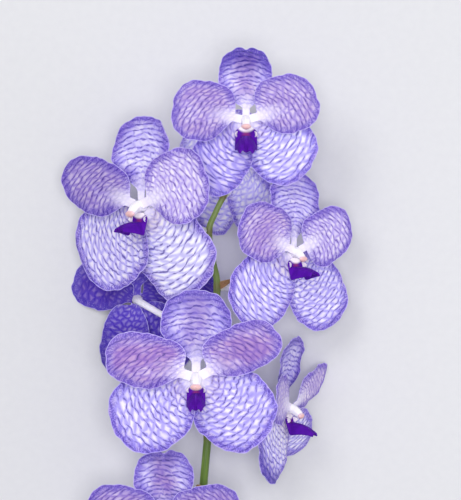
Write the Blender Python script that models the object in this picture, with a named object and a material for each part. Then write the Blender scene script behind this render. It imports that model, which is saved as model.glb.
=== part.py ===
"""A cut spray of vanda orchid, lying on its back blooms.

One zig-zag flower stem carries eight blooms on white stalks. A bloom is a dorsal sepal, two petals,
two lateral sepals, a lip, and one body of stalk, ovary and column. The spray lies on a surface: +Z
is up, +Y runs from the cut end to the top bloom, and the origin is under the middle of the spray.
Lengths and places below are millimetres and angles are degrees; MM turns lengths into metres.
"""

from dataclasses import dataclass, replace
from functools import partial
from math import exp, pi, radians, sin, tan

import bmesh
import bpy
from mathutils import Matrix, Vector
from mathutils.geometry import interpolate_bezier

MM = 0.001

# Driving dimensions
BLADE_THICKNESS = 0.8
LIP_THICKNESS = 1.2
PIECE_GAP = 0.3
LOWEST_BLADE = BLADE_THICKNESS / 2
RECEPTACLE_RADIUS = 3.4
CLAW_START = RECEPTACLE_RADIUS + PIECE_GAP + 0.1
SEPAL_LEVEL = -1.4
PETAL_LEVEL = 1.5
STALK_RADIUS = 1.6
OVARY_RADIUS = 2.3
OVARY_DEPTH = 4.0
STALK_SEAT = 0.7
NOTCH_HALF_WIDTH = 0.15
LIP_CLAW_SHARE = 1 / 8
BRACT_HALF_WIDTH = 2.3
BRACT_TIP_HALF_WIDTH = 0.3
BRACT_FLATNESS = 0.4

# Fineness: cells across and along each blade and lip, rings to each span of the stem, rings of a
# stalk and sides of every tube
BLADE_CELLS = (6, 8)
LIP_CELLS = (6, 8)
STEM_STEPS = 4
STALK_RINGS = 11
TUBE_SIDES = 8


@dataclass(frozen=True)
class Look:
    """The plain colour and roughness of a kind of piece."""

    colour: tuple[float, float, float]
    roughness: float


PETAL_LOOK = Look((0.42, 0.33, 0.78), 0.5)
SEPAL_LOOK = Look((0.55, 0.5, 0.9), 0.5)
LIP_LOOK = Look((0.06, 0.01, 0.22), 0.4)
COLUMN_LOOK = Look((0.86, 0.82, 0.88), 0.45)
STEM_LOOK = Look((0.2, 0.32, 0.07), 0.5)


@dataclass(frozen=True)
class Tepal:
    """A petal or a sepal. A pair holds the side clockwise of the midrib, then the other side."""

    angle: float
    length: float
    half_width: tuple[float, float]
    widest: tuple[float, float]
    shoulder: tuple[float, float] = (1.0, 1.0)
    power: float = 2.2
    claw_length: float = 5.0
    claw_half_width: float = 2.5
    ear: float = 0.0
    notch: float = 0.0
    level: float = SEPAL_LEVEL
    lean: float = 0.0
    curl: float = 0.0
    trough: float = 0.0
    twist: float = 0.0
    wave: float = 0.8
    waves: float = 2.5


@dataclass(frozen=True)
class Lip:
    """A lip: its claw drops by heel under the column, then it runs forward to a forked tip."""

    claw_half_width: float = 2.0
    heel: float = 5.4
    level: float = 0.3
    length: float = 17.0
    droop: float = 6.0
    half_width: float = 5.4
    taper: float = 2.2
    side_lobe: float = 2.8
    side_fall: float = 8.0
    fork: float = 1.0


@dataclass(frozen=True)
class Bloom:
    """One bloom: its middle, turn about Y, sizes and tepals, and the stem place of its stalk."""

    name: str
    middle: tuple[float, float, float]
    yaw: float
    size: float
    lip_size: float
    tepals: dict[str, Tepal]
    stem_place: int
    stalk_out: tuple[float, float, float]
    stalk_back: float
    rests: bool = False
    lip_droop: float = 6.0


LIP = Lip()
DORSAL = Tepal(
    angle=90,
    length=51,
    half_width=(20.5, 20.5),
    widest=(0.62, 0.62),
    shoulder=(2.0, 2.0),
    lean=-2,
    curl=-2,
    trough=1.5,
)
PETAL_RIGHT = Tepal(
    angle=18,
    length=54,
    half_width=(16, 18),
    widest=(0.68, 0.42),
    shoulder=(1.7, 0.5),
    power=2.5,
    claw_half_width=2.8,
    ear=1.5,
    level=PETAL_LEVEL,
    lean=2,
    curl=-1,
    trough=-1,
)
PETAL_LEFT = replace(
    PETAL_RIGHT,
    angle=162,
    half_width=(18, 16),
    widest=(0.42, 0.68),
    shoulder=(0.5, 1.7),
)
LATERAL_RIGHT = Tepal(
    angle=321,
    length=60,
    half_width=(22, 25),
    widest=(0.58, 0.6),
    shoulder=(1.0, 0.5),
    power=2.3,
    claw_length=1.5,
    claw_half_width=3.4,
    lean=-7,
    curl=5,
    trough=-1.5,
    twist=3,
)
LATERAL_LEFT = replace(
    LATERAL_RIGHT,
    angle=219,
    half_width=(25, 22),
    widest=(0.6, 0.58),
    shoulder=(0.5, 1.0),
)
# What the blades of a bloom that faces the surface share: its petals arch down to lie flat at their
# tips, and its lateral sepals curl down, one behind the other
RESTING_PETAL = dict(level=0.2, trough=0, wave=0.4, claw_length=1.5, claw_half_width=3.8)
RESTING_LATERAL = dict(level=-2.2, lean=0, curl=24, wave=0.4)
RESTING_BACK_LATERAL = dict(level=-5.2, lean=0, curl=24, wave=0.4)


def tepals(dorsal=None, petal_left=None, petal_right=None, lateral_left=None, lateral_right=None):
    """The five tepals of a bloom: the common shapes, with this bloom's own changes."""
    return {
        "dorsal_sepal": replace(DORSAL, **(dorsal or {})),
        "petal_left": replace(PETAL_LEFT, **(petal_left or {})),
        "petal_right": replace(PETAL_RIGHT, **(petal_right or {})),
        "lateral_sepal_left": replace(LATERAL_LEFT, **(lateral_left or {})),
        "lateral_sepal_right": replace(LATERAL_RIGHT, **(lateral_right or {})),
    }


BLOOMS = [
    Bloom(
        name="top_bloom",
        middle=(24, 151, 84),
        yaw=0,
        size=0.84,
        lip_size=1.4,
        tepals=tepals(
            dorsal=dict(half_width=(18, 19), shoulder=(1.2, 1.2), level=-1.2, notch=2),
            petal_left=dict(angle=168, length=51.5, half_width=(21, 21), widest=(0.58, 0.65)),
            petal_right=dict(angle=17, length=51.5, half_width=(18, 23), widest=(0.62, 0.52)),
            lateral_left=dict(angle=237.5, length=58, half_width=(21, 20)),
            lateral_right=dict(angle=318, length=55, half_width=(22, 26), level=-2.8),
        ),
        stem_place=13,
        stalk_out=(6, 10, 6),
        stalk_back=18,
    ),
    Bloom(
        name="left_bloom",
        middle=(-37.9, 101.7, 70),
        yaw=-38,
        size=1.0,
        lip_size=1.1,
        tepals=tepals(
            dorsal=dict(angle=93.5, length=53, half_width=(22, 21)),
            petal_left=dict(
                angle=160, length=62, half_width=(17, 17), widest=(0.55, 0.62), power=2.1
            ),
            petal_right=dict(angle=20, length=55, half_width=(22, 22), widest=(0.62, 0.5)),
            lateral_left=dict(
                angle=218,
                length=61,
                half_width=(30, 29),
                widest=(0.62, 0.5),
                shoulder=(0.5, 0.6),
                lean=-9,
                curl=6,
            ),
            lateral_right=dict(
                angle=308,
                length=60,
                half_width=(29, 24),
                power=2.6,
                level=-2.6,
                lean=-9,
                curl=0,
            ),
        ),
        stem_place=10,
        stalk_out=(-14, 4, 0),
        stalk_back=16,
        lip_droop=2.0,
    ),
    Bloom(
        name="right_bloom",
        middle=(52.9, 74.8, 62),
        yaw=38,
        size=0.86,
        lip_size=1.25,
        tepals=tepals(
            dorsal=dict(angle=87, length=56, half_width=(22, 22)),
            petal_left=dict(angle=157, length=54, half_width=(22, 19), widest=(0.45, 0.6)),
            petal_right=dict(
                angle=26,
                length=52.5,
                half_width=(21, 17),
                widest=(0.5, 0.5),
                shoulder=(0.6, 0.5),
            ),
            lateral_left=dict(angle=227, length=64, half_width=(26, 24)),
            lateral_right=dict(angle=313, length=65, half_width=(25, 23), level=-2.6),
        ),
        stem_place=8,
        stalk_out=(14, -5, -7),
        stalk_back=16,
        lip_droop=1.5,
    ),
    Bloom(
        name="middle_bloom",
        middle=(-4.9, 2.1, 85),
        yaw=0,
        size=1.0,
        lip_size=1.0,
        tepals=tepals(
            dorsal=dict(lean=0, curl=0),
            petal_left=dict(angle=161, half_width=(16, 16.5)),
            petal_right=dict(angle=28, half_width=(12, 17), power=2.8),
            lateral_left=dict(angle=219, length=57, half_width=(26, 22), power=2.1),
            lateral_right=dict(angle=315, length=53, half_width=(21, 26), widest=(0.5, 0.56)),
        ),
        stem_place=6,
        stalk_out=(-5, 1, 12),
        stalk_back=18,
    ),
    Bloom(
        name="upper_back_bloom",
        middle=(18.3, 127.3, 18),
        yaw=180,
        size=0.85,
        lip_size=0.85,
        tepals=tepals(
            dorsal=dict(length=41, half_width=(17, 17), lean=-2, curl=9),
            petal_left=dict(
                angle=152, length=44, shoulder=(1.0, 1.7), lean=39, curl=-13, **RESTING_PETAL
            ),
            petal_right=dict(
                angle=28, length=44, shoulder=(1.7, 1.0), lean=39, curl=-13, **RESTING_PETAL
            ),
            lateral_left=dict(angle=251, length=56, half_width=(20, 15), **RESTING_BACK_LATERAL),
            lateral_right=dict(angle=291, length=52, half_width=(13, 19), **RESTING_LATERAL),
        ),
        stem_place=12,
        stalk_out=(5, 1, -11),
        stalk_back=12,
        rests=True,
    ),
    Bloom(
        name="left_back_bloom",
        middle=(-41.7, 45.7, 19),
        yaw=180,
        size=0.9,
        lip_size=0.9,
        tepals=tepals(
            dorsal=dict(lean=-2, curl=10),
            petal_left=dict(angle=170, lean=32, curl=-11.5, **RESTING_PETAL),
            petal_right=dict(
                angle=20, length=47, half_width=(17, 17), lean=36, curl=-12, **RESTING_PETAL
            ),
            lateral_left=dict(angle=240, length=55, half_width=(19, 15), **RESTING_LATERAL),
            lateral_right=dict(
                angle=284,
                length=55,
                half_width=(14, 18),
                shoulder=(0.9, 0.3),
                **RESTING_BACK_LATERAL,
            ),
        ),
        stem_place=7,
        stalk_out=(-14, 6, 0),
        stalk_back=14,
        rests=True,
    ),
    Bloom(
        name="side_bloom",
        middle=(50, -19, 38),
        yaw=65,
        size=0.9,
        lip_size=1.1,
        tepals=tepals(
            dorsal=dict(length=48, half_width=(18, 18), lean=-8, curl=14),
            petal_left=dict(angle=166, length=46, lean=12),
            petal_right=dict(angle=25, length=55, half_width=(14, 15), lean=6, twist=20),
            lateral_left=dict(angle=233, length=55, half_width=(20, 20), lean=1, curl=-2),
            lateral_right=dict(
                angle=316,
                length=51,
                half_width=(15, 16),
                claw_length=4.0,
                claw_half_width=2.5,
                lean=-8,
                curl=-2,
                twist=34,
            ),
        ),
        stem_place=5,
        stalk_out=(14, 2, 0),
        stalk_back=16,
        rests=True,
        lip_droop=4.5,
    ),
    Bloom(
        name="bottom_bloom",
        middle=(-24, -84.5, 72),
        yaw=0,
        size=0.86,
        lip_size=1.0,
        tepals=tepals(
            dorsal=dict(notch=3),
            lateral_left=dict(angle=222, length=57, half_width=(24, 20)),
            lateral_right=dict(angle=316, length=57, half_width=(21, 24)),
        ),
        stem_place=4,
        stalk_out=(-10, 0, 4),
        stalk_back=16,
    ),
]

# The receptacle and column in a bloom's own frame, from the ovary to the tip of the cap: place and radius
COLUMN = [
    ((0, 0, -2.5), RECEPTACLE_RADIUS),
    ((0, 0, 1.5), RECEPTACLE_RADIUS),
    ((0, -1.2, 4.5), 2.9),
    ((0, -3.2, 7.0), 2.6),
    ((0, -4.6, 8.6), 1.9),
    ((0, -5.2, 9.4), 0.8),
]

# The stem from its cut end to its top: place and radius
STEM = [
    ((0, -195, 2.8), 2.7),
    ((-2, -160, 8), 2.6),
    ((-3, -125, 24), 2.5),
    ((-2, -95, 40), 2.4),
    ((-1.3, -67, 49), 2.4),
    ((1.5, -34, 50), 2.3),
    ((2.8, -12, 50), 2.2),
    ((4.5, 22, 50), 2.1),
    ((7, 54, 50), 2.0),
    ((4.6, 69, 50), 1.9),
    ((2.2, 87, 51), 1.8),
    ((6, 98, 52), 1.7),
    ((11, 108, 52), 1.6),
    ((17, 120, 55), 1.4),
]

# The bracts: the stem place that each grows from, its direction and its length
BRACTS = [
    (2, (-3, 7, 4), 8),
    (4, (-4, 4, 4), 7),
    (5, (4, 3, -4), 7),
    (6, (-5, 5, 0), 7),
    (7, (4, 4, 2), 7),
    (8, (6, 3, 2), 10.5),
    (10, (-4, 1, -4), 7),
    (12, (-5, 3, 1), 6),
]


def own_material(name, look):
    """A plain Principled material for one piece."""
    made = bpy.data.materials.new(name)
    made.use_nodes = True
    shader = made.node_tree.nodes["Principled BSDF"]
    shader.inputs["Base Color"].default_value = (*look.colour, 1)
    shader.inputs["Roughness"].default_value = look.roughness
    shader.inputs["Metallic"].default_value = 0
    return made


def between(pair, u):
    """The value of a pair at u: the first at u = 1, clockwise of the midrib, the second at u = -1."""
    return pair[1] + (pair[0] - pair[1]) * (u + 1) / 2


def blade_outline(tepal, u, v):
    """The flat blade: u runs across, and v from the claw (-1) past the widest line (0) to the tip (1)."""
    half_width = between(tepal.half_width, u)
    widest = between(tepal.widest, u) * tepal.length
    n = tepal.power
    if v < 0:
        claw_end = CLAW_START + tepal.claw_length
        y = CLAW_START + (widest - CLAW_START) * (1 + v)
        t = max(0.0, (y - claw_end) / (widest - claw_end))
        spread = (1 - (1 - t) ** 3) ** between(tepal.shoulder, u)
        y -= tepal.ear * u**2 * 4 * t * (1 - t)
        return u * (tepal.claw_half_width + (half_width - tepal.claw_half_width) * spread), y
    x = u * half_width * (1 - v**n / 2) ** (1 / n)
    y = widest + (tepal.length - widest) * v * (1 - abs(u) ** n / 2) ** (1 / n)
    return x, y - tepal.notch * v**6 * exp(-((u / NOTCH_HALF_WIDTH) ** 2))


def blade_point(tepal, u, v):
    """A place on the bent blade, in the bloom's frame: y to the dorsal side and z to the face."""
    x, y = blade_outline(tepal, u, v)
    along = y / tepal.length
    across = x / max(tepal.half_width)
    side_edge = abs(u) ** 3
    edge = side_edge * min(1.0, 2 * along) if v < 0 else max(side_edge, v**6)
    lift = y * tan(radians(tepal.lean)) + tepal.curl * along**2 + tepal.trough * across**2
    ripple = tepal.wave * edge * sin(2 * pi * tepal.waves * along + u)
    point = Matrix.Rotation(radians(tepal.twist), 3, "Y") @ Vector((x, 0, lift + ripple))
    point.y += y
    point = Matrix.Rotation(radians(tepal.angle - 90), 3, "Z") @ point
    point.z += tepal.level
    return point


def lip_point(lip, size, u, v):
    """A place on the lip, in the bloom's frame: side lobes stand at its base and its sides fall."""
    t = (v + 1) / 2
    claw = min(1.0, t / LIP_CLAW_SHARE)
    past = max(0.0, (t - LIP_CLAW_SHARE) / (1 - LIP_CLAW_SHARE))
    widening = (lip.half_width - lip.claw_half_width) * claw
    half_width = lip.claw_half_width + widening - lip.taper * past**2
    lobe = lip.side_lobe * claw * exp(-((past / 0.12) ** 2))
    fall = lip.side_fall * min(1.0, 7 * past) * (1 - 0.6 * past)
    fork = lip.fork * past**8 * exp(-((u / 0.5) ** 2))
    drop = lip.heel * claw + lip.droop * past**2.2 + (fall - lobe) * abs(u) ** 2.4
    forward = lip.level + lip.length * past - fork
    return Vector((u * half_width * size, -CLAW_START - drop * size, forward * size))


def bloom_matrix(bloom):
    """From the bloom's own frame, in millimetres, to the spray's."""
    turn = Matrix.Rotation(radians(bloom.yaw), 4, "Y")
    return Matrix.Translation(bloom.middle) @ turn @ Matrix.Scale(bloom.size, 4)


def sheet_object(name, cells, shape, frame, lowest, thickness, look):
    """A thickened sheet: a grid from -1 to 1 each way whose points go to frame @ shape(u, v)."""
    sheet = bmesh.new()
    bmesh.ops.create_grid(sheet, x_segments=cells[0], y_segments=cells[1], size=1)
    for vertex in sheet.verts:
        point = frame @ shape(vertex.co.x, vertex.co.y)
        point.z = max(point.z, lowest)
        vertex.co = point * MM
    bmesh.ops.triangulate(sheet, faces=sheet.faces, quad_method="SHORT_EDGE")
    mesh = bpy.data.meshes.new(name)
    sheet.to_mesh(mesh)
    sheet.free()
    mesh.shade_smooth()
    mesh.materials.append(own_material(name, look))
    made = bpy.data.objects.new(name, mesh)
    bpy.context.scene.collection.objects.link(made)
    solidify = made.modifiers.new("Thickness", "SOLIDIFY")
    solidify.thickness = thickness * MM
    solidify.offset = 0
    return made


def tube_object(name, points, radii, look):
    """A closed tube through points, with its own radius at each."""
    curve = bpy.data.curves.new(name, "CURVE")
    curve.dimensions = "3D"
    curve.use_fill_caps = True
    curve.bevel_depth = MM
    curve.bevel_resolution = TUBE_SIDES // 2 - 2
    spline = curve.splines.new("POLY")
    spline.points.add(len(points) - 1)
    for point, place, radius in zip(spline.points, points, radii):
        point.co = (*(Vector(place) * MM), 1)
        point.radius = radius
    spline.use_smooth = True
    curve.materials.append(own_material(name, look))
    made = bpy.data.objects.new(name, curve)
    bpy.context.scene.collection.objects.link(made)
    return made


def add_stalk_and_column(bloom):
    """One body: the stalk from the stem, the ovary, the receptacle and the column with its cap."""
    frame = bloom_matrix(bloom)
    face = (frame.to_3x3() @ Vector((0, 0, 1))).normalized()
    place, radius = STEM[bloom.stem_place]
    stem_middle = Vector(place)
    outward = Vector(bloom.stalk_out)
    at_tip = bloom.stem_place == len(STEM) - 1
    start = stem_middle + outward.normalized() * (PIECE_GAP if at_tip else radius + STALK_SEAT)
    back = frame @ Vector((0, 0, -OVARY_DEPTH))
    bends = [start, stem_middle + outward, back - face * bloom.stalk_back, back]
    points = interpolate_bezier(*bends, STALK_RINGS)
    shares = [ring / (STALK_RINGS - 1) for ring in range(STALK_RINGS)]
    radii = [STALK_RADIUS + (OVARY_RADIUS - STALK_RADIUS) * share**2 for share in shares]
    points += [frame @ Vector(place) for place, radius in COLUMN]
    radii += [radius * bloom.size for place, radius in COLUMN]
    tube_object(f"{bloom.name}_stalk_and_column", points, radii, COLUMN_LOOK)


def add_bloom(bloom):
    """All seven pieces of one bloom."""
    frame = bloom_matrix(bloom)
    lowest = LOWEST_BLADE if bloom.rests else float("-inf")
    for piece, tepal in bloom.tepals.items():
        look = PETAL_LOOK if piece.startswith("petal") else SEPAL_LOOK
        shape = partial(blade_point, tepal)
        name = f"{bloom.name}_{piece}"
        sheet_object(name, BLADE_CELLS, shape, frame, lowest, BLADE_THICKNESS, look)
    lip = replace(LIP, droop=bloom.lip_droop)
    shape = partial(lip_point, lip, bloom.lip_size)
    sheet_object(f"{bloom.name}_lip", LIP_CELLS, shape, frame, lowest, LIP_THICKNESS, LIP_LOOK)
    add_stalk_and_column(bloom)


def smooth_path(places, radii, steps):
    """Points and radii, with steps points to each span, along a curve that passes through every place."""
    points = []
    widths = []
    for i in range(len(places) - 1):
        before = places[max(i - 1, 0)]
        after = places[min(i + 2, len(places) - 1)]
        first_bend = places[i] + (places[i + 1] - before) / 6
        last_bend = places[i + 1] - (after - places[i]) / 6
        span = interpolate_bezier(places[i], first_bend, last_bend, places[i + 1], steps + 1)
        points += span[:-1]
        widths += [radii[i] + (radii[i + 1] - radii[i]) * step / steps for step in range(steps)]
    return points + [places[-1]], widths + [radii[-1]]


def bract_object(place, direction, length):
    """A small papery scale: a flattened cone that grows out of the stem at place."""
    scale = bmesh.new()
    bmesh.ops.create_cone(
        scale,
        cap_ends=True,
        segments=TUBE_SIDES,
        radius1=BRACT_HALF_WIDTH * MM,
        radius2=BRACT_TIP_HALF_WIDTH * MM,
        depth=length * MM,
    )
    bmesh.ops.scale(scale, vec=(1, BRACT_FLATNESS, 1), verts=scale.verts)
    bmesh.ops.translate(scale, vec=(0, 0, length * MM / 2), verts=scale.verts)
    turn = Vector(direction).to_track_quat("Z", "Y").to_matrix().to_4x4()
    seat = Matrix.Translation(Vector(place) * MM)
    bmesh.ops.transform(scale, matrix=seat @ turn, verts=scale.verts)
    mesh = bpy.data.meshes.new("bract")
    scale.to_mesh(mesh)
    scale.free()
    made = bpy.data.objects.new("bract", mesh)
    bpy.context.scene.collection.objects.link(made)
    made.hide_render = True
    made.display_type = "WIRE"
    return made


def add_stem():
    """The flower stem, smooth through its listed places, with a bract where each stalk leaves it."""
    places = [Vector(place) for place, radius in STEM]
    points, radii = smooth_path(places, [radius for place, radius in STEM], STEM_STEPS)
    guide = tube_object("stem_guide", points, radii, STEM_LOOK)
    mesh = bpy.data.meshes.new_from_object(guide)
    bpy.data.objects.remove(guide)
    stem = bpy.data.objects.new("stem", mesh)
    bpy.context.scene.collection.objects.link(stem)
    for stem_place, direction, length in BRACTS:
        union = stem.modifiers.new("Bract", "BOOLEAN")
        union.operation = "UNION"
        union.object = bract_object(places[stem_place], direction, length)


def main():
    """Clears the scene and makes the stem and every bloom."""
    for old in list(bpy.data.objects):
        bpy.data.objects.remove(old)
    add_stem()
    for bloom in BLOOMS:
        add_bloom(bloom)


if __name__ == "__main__":
    main()
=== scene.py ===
"""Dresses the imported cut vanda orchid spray: a lying flower stem with eight blue-violet, netted blooms.

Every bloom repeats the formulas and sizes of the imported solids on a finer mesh, so that each dressed
piece stays where its solid is. Lengths and places in the dataclasses are millimetres and angles are
degrees; MM turns lengths into the frame's metres.
"""

import logging
from dataclasses import dataclass, field, replace
from enum import Enum
from math import atan2, cos, exp, pi, radians, sin, tan
from typing import Any, Callable

import bpy
import numpy as np
from mathutils import Matrix, Vector
from mathutils.geometry import interpolate_bezier


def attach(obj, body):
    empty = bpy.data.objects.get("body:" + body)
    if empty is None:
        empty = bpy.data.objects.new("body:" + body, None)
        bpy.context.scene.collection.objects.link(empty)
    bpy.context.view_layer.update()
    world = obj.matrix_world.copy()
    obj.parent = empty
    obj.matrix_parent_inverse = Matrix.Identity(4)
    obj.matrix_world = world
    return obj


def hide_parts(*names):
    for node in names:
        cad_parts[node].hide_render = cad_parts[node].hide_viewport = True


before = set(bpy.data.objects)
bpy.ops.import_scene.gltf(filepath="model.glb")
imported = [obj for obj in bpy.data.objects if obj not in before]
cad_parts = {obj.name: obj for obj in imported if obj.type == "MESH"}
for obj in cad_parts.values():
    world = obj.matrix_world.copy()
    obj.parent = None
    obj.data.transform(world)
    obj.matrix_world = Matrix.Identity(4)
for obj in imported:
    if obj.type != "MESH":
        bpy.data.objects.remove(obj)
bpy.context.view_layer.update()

Colour = tuple[float, float, float]
Pair = tuple[float, float]
Place = tuple[float, float, float]
StemPath = list[tuple[Place, float]]

LOG = logging.getLogger("spray")
MM = 0.001

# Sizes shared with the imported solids
BLADE_THICKNESS = 0.8
LIP_THICKNESS = 1.2
LOWEST_BLADE = BLADE_THICKNESS / 2
RECEPTACLE_RADIUS = 3.4
CLAW_START = 3.8
SEPAL_LEVEL = -1.4
PETAL_LEVEL = 1.5
STALK_RADIUS = 1.6
OVARY_RADIUS = 2.3
OVARY_DEPTH = 4.0
NOTCH_HALF_WIDTH = 0.15
LIP_CLAW_SHARE = 1 / 8


def paint(red: int, green: int, blue: int) -> Colour:
    """Turns a colour as a screen shows it, 0 to 255, into the linear colour that a shader takes.

    Args:
        red: the red part.
        green: the green part.
        blue: the blue part.

    Returns:
        The linear colour.
    """
    parts = [part / 255 for part in (red, green, blue)]
    return tuple(p / 12.92 if p <= 0.04045 else ((p + 0.055) / 1.055) ** 2.4 for p in parts)


class Signal:
    """A number or vector that runs between nodes, with the operators that shader sums use."""

    def __init__(self, sheet: "NodeSheet", socket: bpy.types.NodeSocket) -> None:
        """Wraps one output socket of a sheet of nodes."""
        self.sheet = sheet
        self.socket = socket

    def __add__(self, other: "Signal | float") -> "Signal":
        """This plus other."""
        return self.sheet.math("ADD", self, other)

    def __sub__(self, other: "Signal | float") -> "Signal":
        """This minus other."""
        return self.sheet.math("SUBTRACT", self, other)

    def __rsub__(self, other: float) -> "Signal":
        """A number minus this."""
        return self.sheet.math("SUBTRACT", other, self)

    def __mul__(self, other: "Signal | float") -> "Signal":
        """This times other."""
        return self.sheet.math("MULTIPLY", self, other)

    def __truediv__(self, other: "Signal | float") -> "Signal":
        """This divided by other."""
        return self.sheet.math("DIVIDE", self, other)

    def __abs__(self) -> "Signal":
        """This without its sign."""
        return self.sheet.math("ABSOLUTE", self)

    __radd__ = __add__
    __rmul__ = __mul__

    def rise(self, start: float, end: float) -> "Signal":
        """Goes smoothly from 0 where this is start to 1 where it is end, in either order.

        Args:
            start: the value that gives 0.
            end: the value that gives 1.

        Returns:
            The eased share.
        """
        low, high = sorted((start, end))
        shares = {"To Min": 0.0, "To Max": 1.0} if start < end else {"To Min": 1.0, "To Max": 0.0}
        made = self.sheet.node(
            "ShaderNodeMapRange",
            {"interpolation_type": "SMOOTHSTEP"},
            {"Value": self, "From Min": low, "From Max": high, **shares},
        )
        return Signal(self.sheet, made.outputs["Result"])


class Rank(Enum):
    """Which of the random cells round a place is meant."""

    NEAREST = "F1"
    SECOND = "F2"


class NodeSheet:
    """The nodes of one material."""

    TO_NUMBER = ("DOT_PRODUCT", "LENGTH")
    NOISE_MIDDLE = (0.5, 0.5, 0.5)
    UNTINTED = (1.0, 1.0, 1.0)

    def __init__(self, name: str) -> None:
        """Makes the material with its Principled shader.

        Args:
            name: the material's name.
        """
        self.material = bpy.data.materials.new(name)
        self.material.use_nodes = True
        self.tree = self.material.node_tree
        self.shader = self.tree.nodes["Principled BSDF"]

    def node(self, kind: str, settings: dict[str, Any], sockets: dict[Any, Any]) -> bpy.types.Node:
        """Adds any node.

        Args:
            kind: the node's type.
            settings: its settings, which are made before its sockets are fed.
            sockets: the number, colour, vector or Signal for each input, by name or place.

        Returns:
            The node.
        """
        made = self.tree.nodes.new(kind)
        for setting, value in settings.items():
            setattr(made, setting, value)
        for socket, value in sockets.items():
            self.feed(made.inputs[socket], value)
        return made

    def feed(self, target: bpy.types.NodeSocket, value: Any) -> None:
        """Links a Signal to an input socket, or sets a number, colour or vector on it.

        Args:
            target: the input socket.
            value: what it gets.
        """
        if isinstance(value, Signal):
            self.tree.links.new(value.socket, target)
        elif target.type == "RGBA":
            target.default_value = (*value, 1.0)
        else:
            target.default_value = value

    def math(self, operation: str, *operands: "Signal | float") -> Signal:
        """One Math node on one to three operands."""
        made = self.node("ShaderNodeMath", {"operation": operation}, dict(enumerate(operands)))
        return Signal(self, made.outputs[0])

    def vector(self, operation: str, *operands: "Signal | Place") -> Signal:
        """One Vector Math node.

        Args:
            operation: what it does.
            operands: the one or two vectors that it works on.

        Returns:
            A number from DOT_PRODUCT and LENGTH, and a vector from the rest.
        """
        settings = {"operation": operation}
        made = self.node("ShaderNodeVectorMath", settings, dict(enumerate(operands)))
        return Signal(self, made.outputs[1 if operation in self.TO_NUMBER else 0])

    def mix(self, share: "Signal | float", first: "Signal | Colour", last: "Signal | Colour") -> Signal:
        """A colour that goes from first to last.

        Args:
            share: 0 for first, 1 for last.
            first: the colour at 0.
            last: the colour at 1.

        Returns:
            The mixed colour.
        """
        made = self.node("ShaderNodeMix", {"data_type": "RGBA"}, {0: share, 6: first, 7: last})
        return Signal(self, made.outputs[2])

    def tint(self, share: "Signal | float", colour: Signal, tint: Colour) -> Signal:
        """A colour multiplied by a share of a tint."""
        return self.vector("MULTIPLY", colour, self.mix(share, self.UNTINTED, tint))

    def object_place(self) -> Signal:
        """The place on the object itself, in metres."""
        return Signal(self, self.node("ShaderNodeTexCoord", {}, {}).outputs["Object"])

    def attribute(self, name: str) -> tuple[Signal, Signal, Signal]:
        """The three numbers of one of the mesh's own attributes."""
        made = self.node("ShaderNodeAttribute", {"attribute_name": name}, {})
        return self.split(Signal(self, made.outputs["Vector"]))

    def split(self, vector: Signal) -> tuple[Signal, Signal, Signal]:
        """The three numbers of a vector."""
        made = self.node("ShaderNodeSeparateXYZ", {}, {0: vector})
        return tuple(Signal(self, output) for output in made.outputs)

    def join(self, x: "Signal | float", y: "Signal | float", z: "Signal | float" = 0.0) -> Signal:
        """A vector from three numbers."""
        made = self.node("ShaderNodeCombineXYZ", {}, {0: x, 1: y, 2: z})
        return Signal(self, made.outputs[0])

    def noise(self, place: Signal, scale: float, detail: float = 2.0) -> tuple[Signal, Signal]:
        """Soft random patches.

        Args:
            place: where the noise is read.
            scale: patches to each unit of place.
            detail: how many finer layers are added.

        Returns:
            A number round one half, and a vector of three such numbers.
        """
        sockets = {"Vector": place, "Scale": scale, "Detail": detail}
        made = self.node("ShaderNodeTexNoise", {}, sockets)
        return Signal(self, made.outputs["Fac"]), Signal(self, made.outputs["Color"])

    def sway(self, place: Signal, scale: float, detail: float, size: Place) -> Signal:
        """A random shift of a place.

        Args:
            place: where the shift is read.
            scale: patches of one shift to each unit of place.
            detail: how many finer layers are added.
            size: the whole range of the shift each way.

        Returns:
            The shift.
        """
        swing = self.vector("SUBTRACT", self.noise(place, scale, detail)[1], self.NOISE_MIDDLE)
        return self.vector("MULTIPLY", swing, size)

    def cells(self, place: Signal, rank: Rank, randomness: float) -> bpy.types.Node:
        """Random cells on the plane of place's first two numbers.

        Args:
            place: where they are read, in cells.
            rank: which cell is meant.
            randomness: how far they stray from a square grid, 0 to 1.

        Returns:
            The node, which gives the cell's Position and Color.
        """
        settings = {"voronoi_dimensions": "2D", "feature": rank.value}
        sockets = {"Vector": place, "Scale": 1.0, "Randomness": randomness}
        return self.node("ShaderNodeTexVoronoi", settings, sockets)

    def bump(self, height: Signal, distance: float, strength: float = 1.0) -> Signal:
        """A normal that a height tilts.

        Args:
            height: the height, in units of distance.
            distance: that unit, in millimetres.
            strength: how much of the tilt shows.

        Returns:
            The normal.
        """
        sockets = {"Height": height, "Distance": distance * MM, "Strength": strength}
        made = self.node("ShaderNodeBump", {}, sockets)
        return Signal(self, made.outputs["Normal"])

    def dress(self, **sockets: Any) -> bpy.types.Material:
        """Feeds the Principled shader and hands over the material.

        Args:
            sockets: what each shader socket gets, by its name with _ for each space.

        Returns:
            The material.
        """
        for name, value in sockets.items():
            self.feed(self.shader.inputs[name.replace("_", " ")], value)
        return self.material


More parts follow.
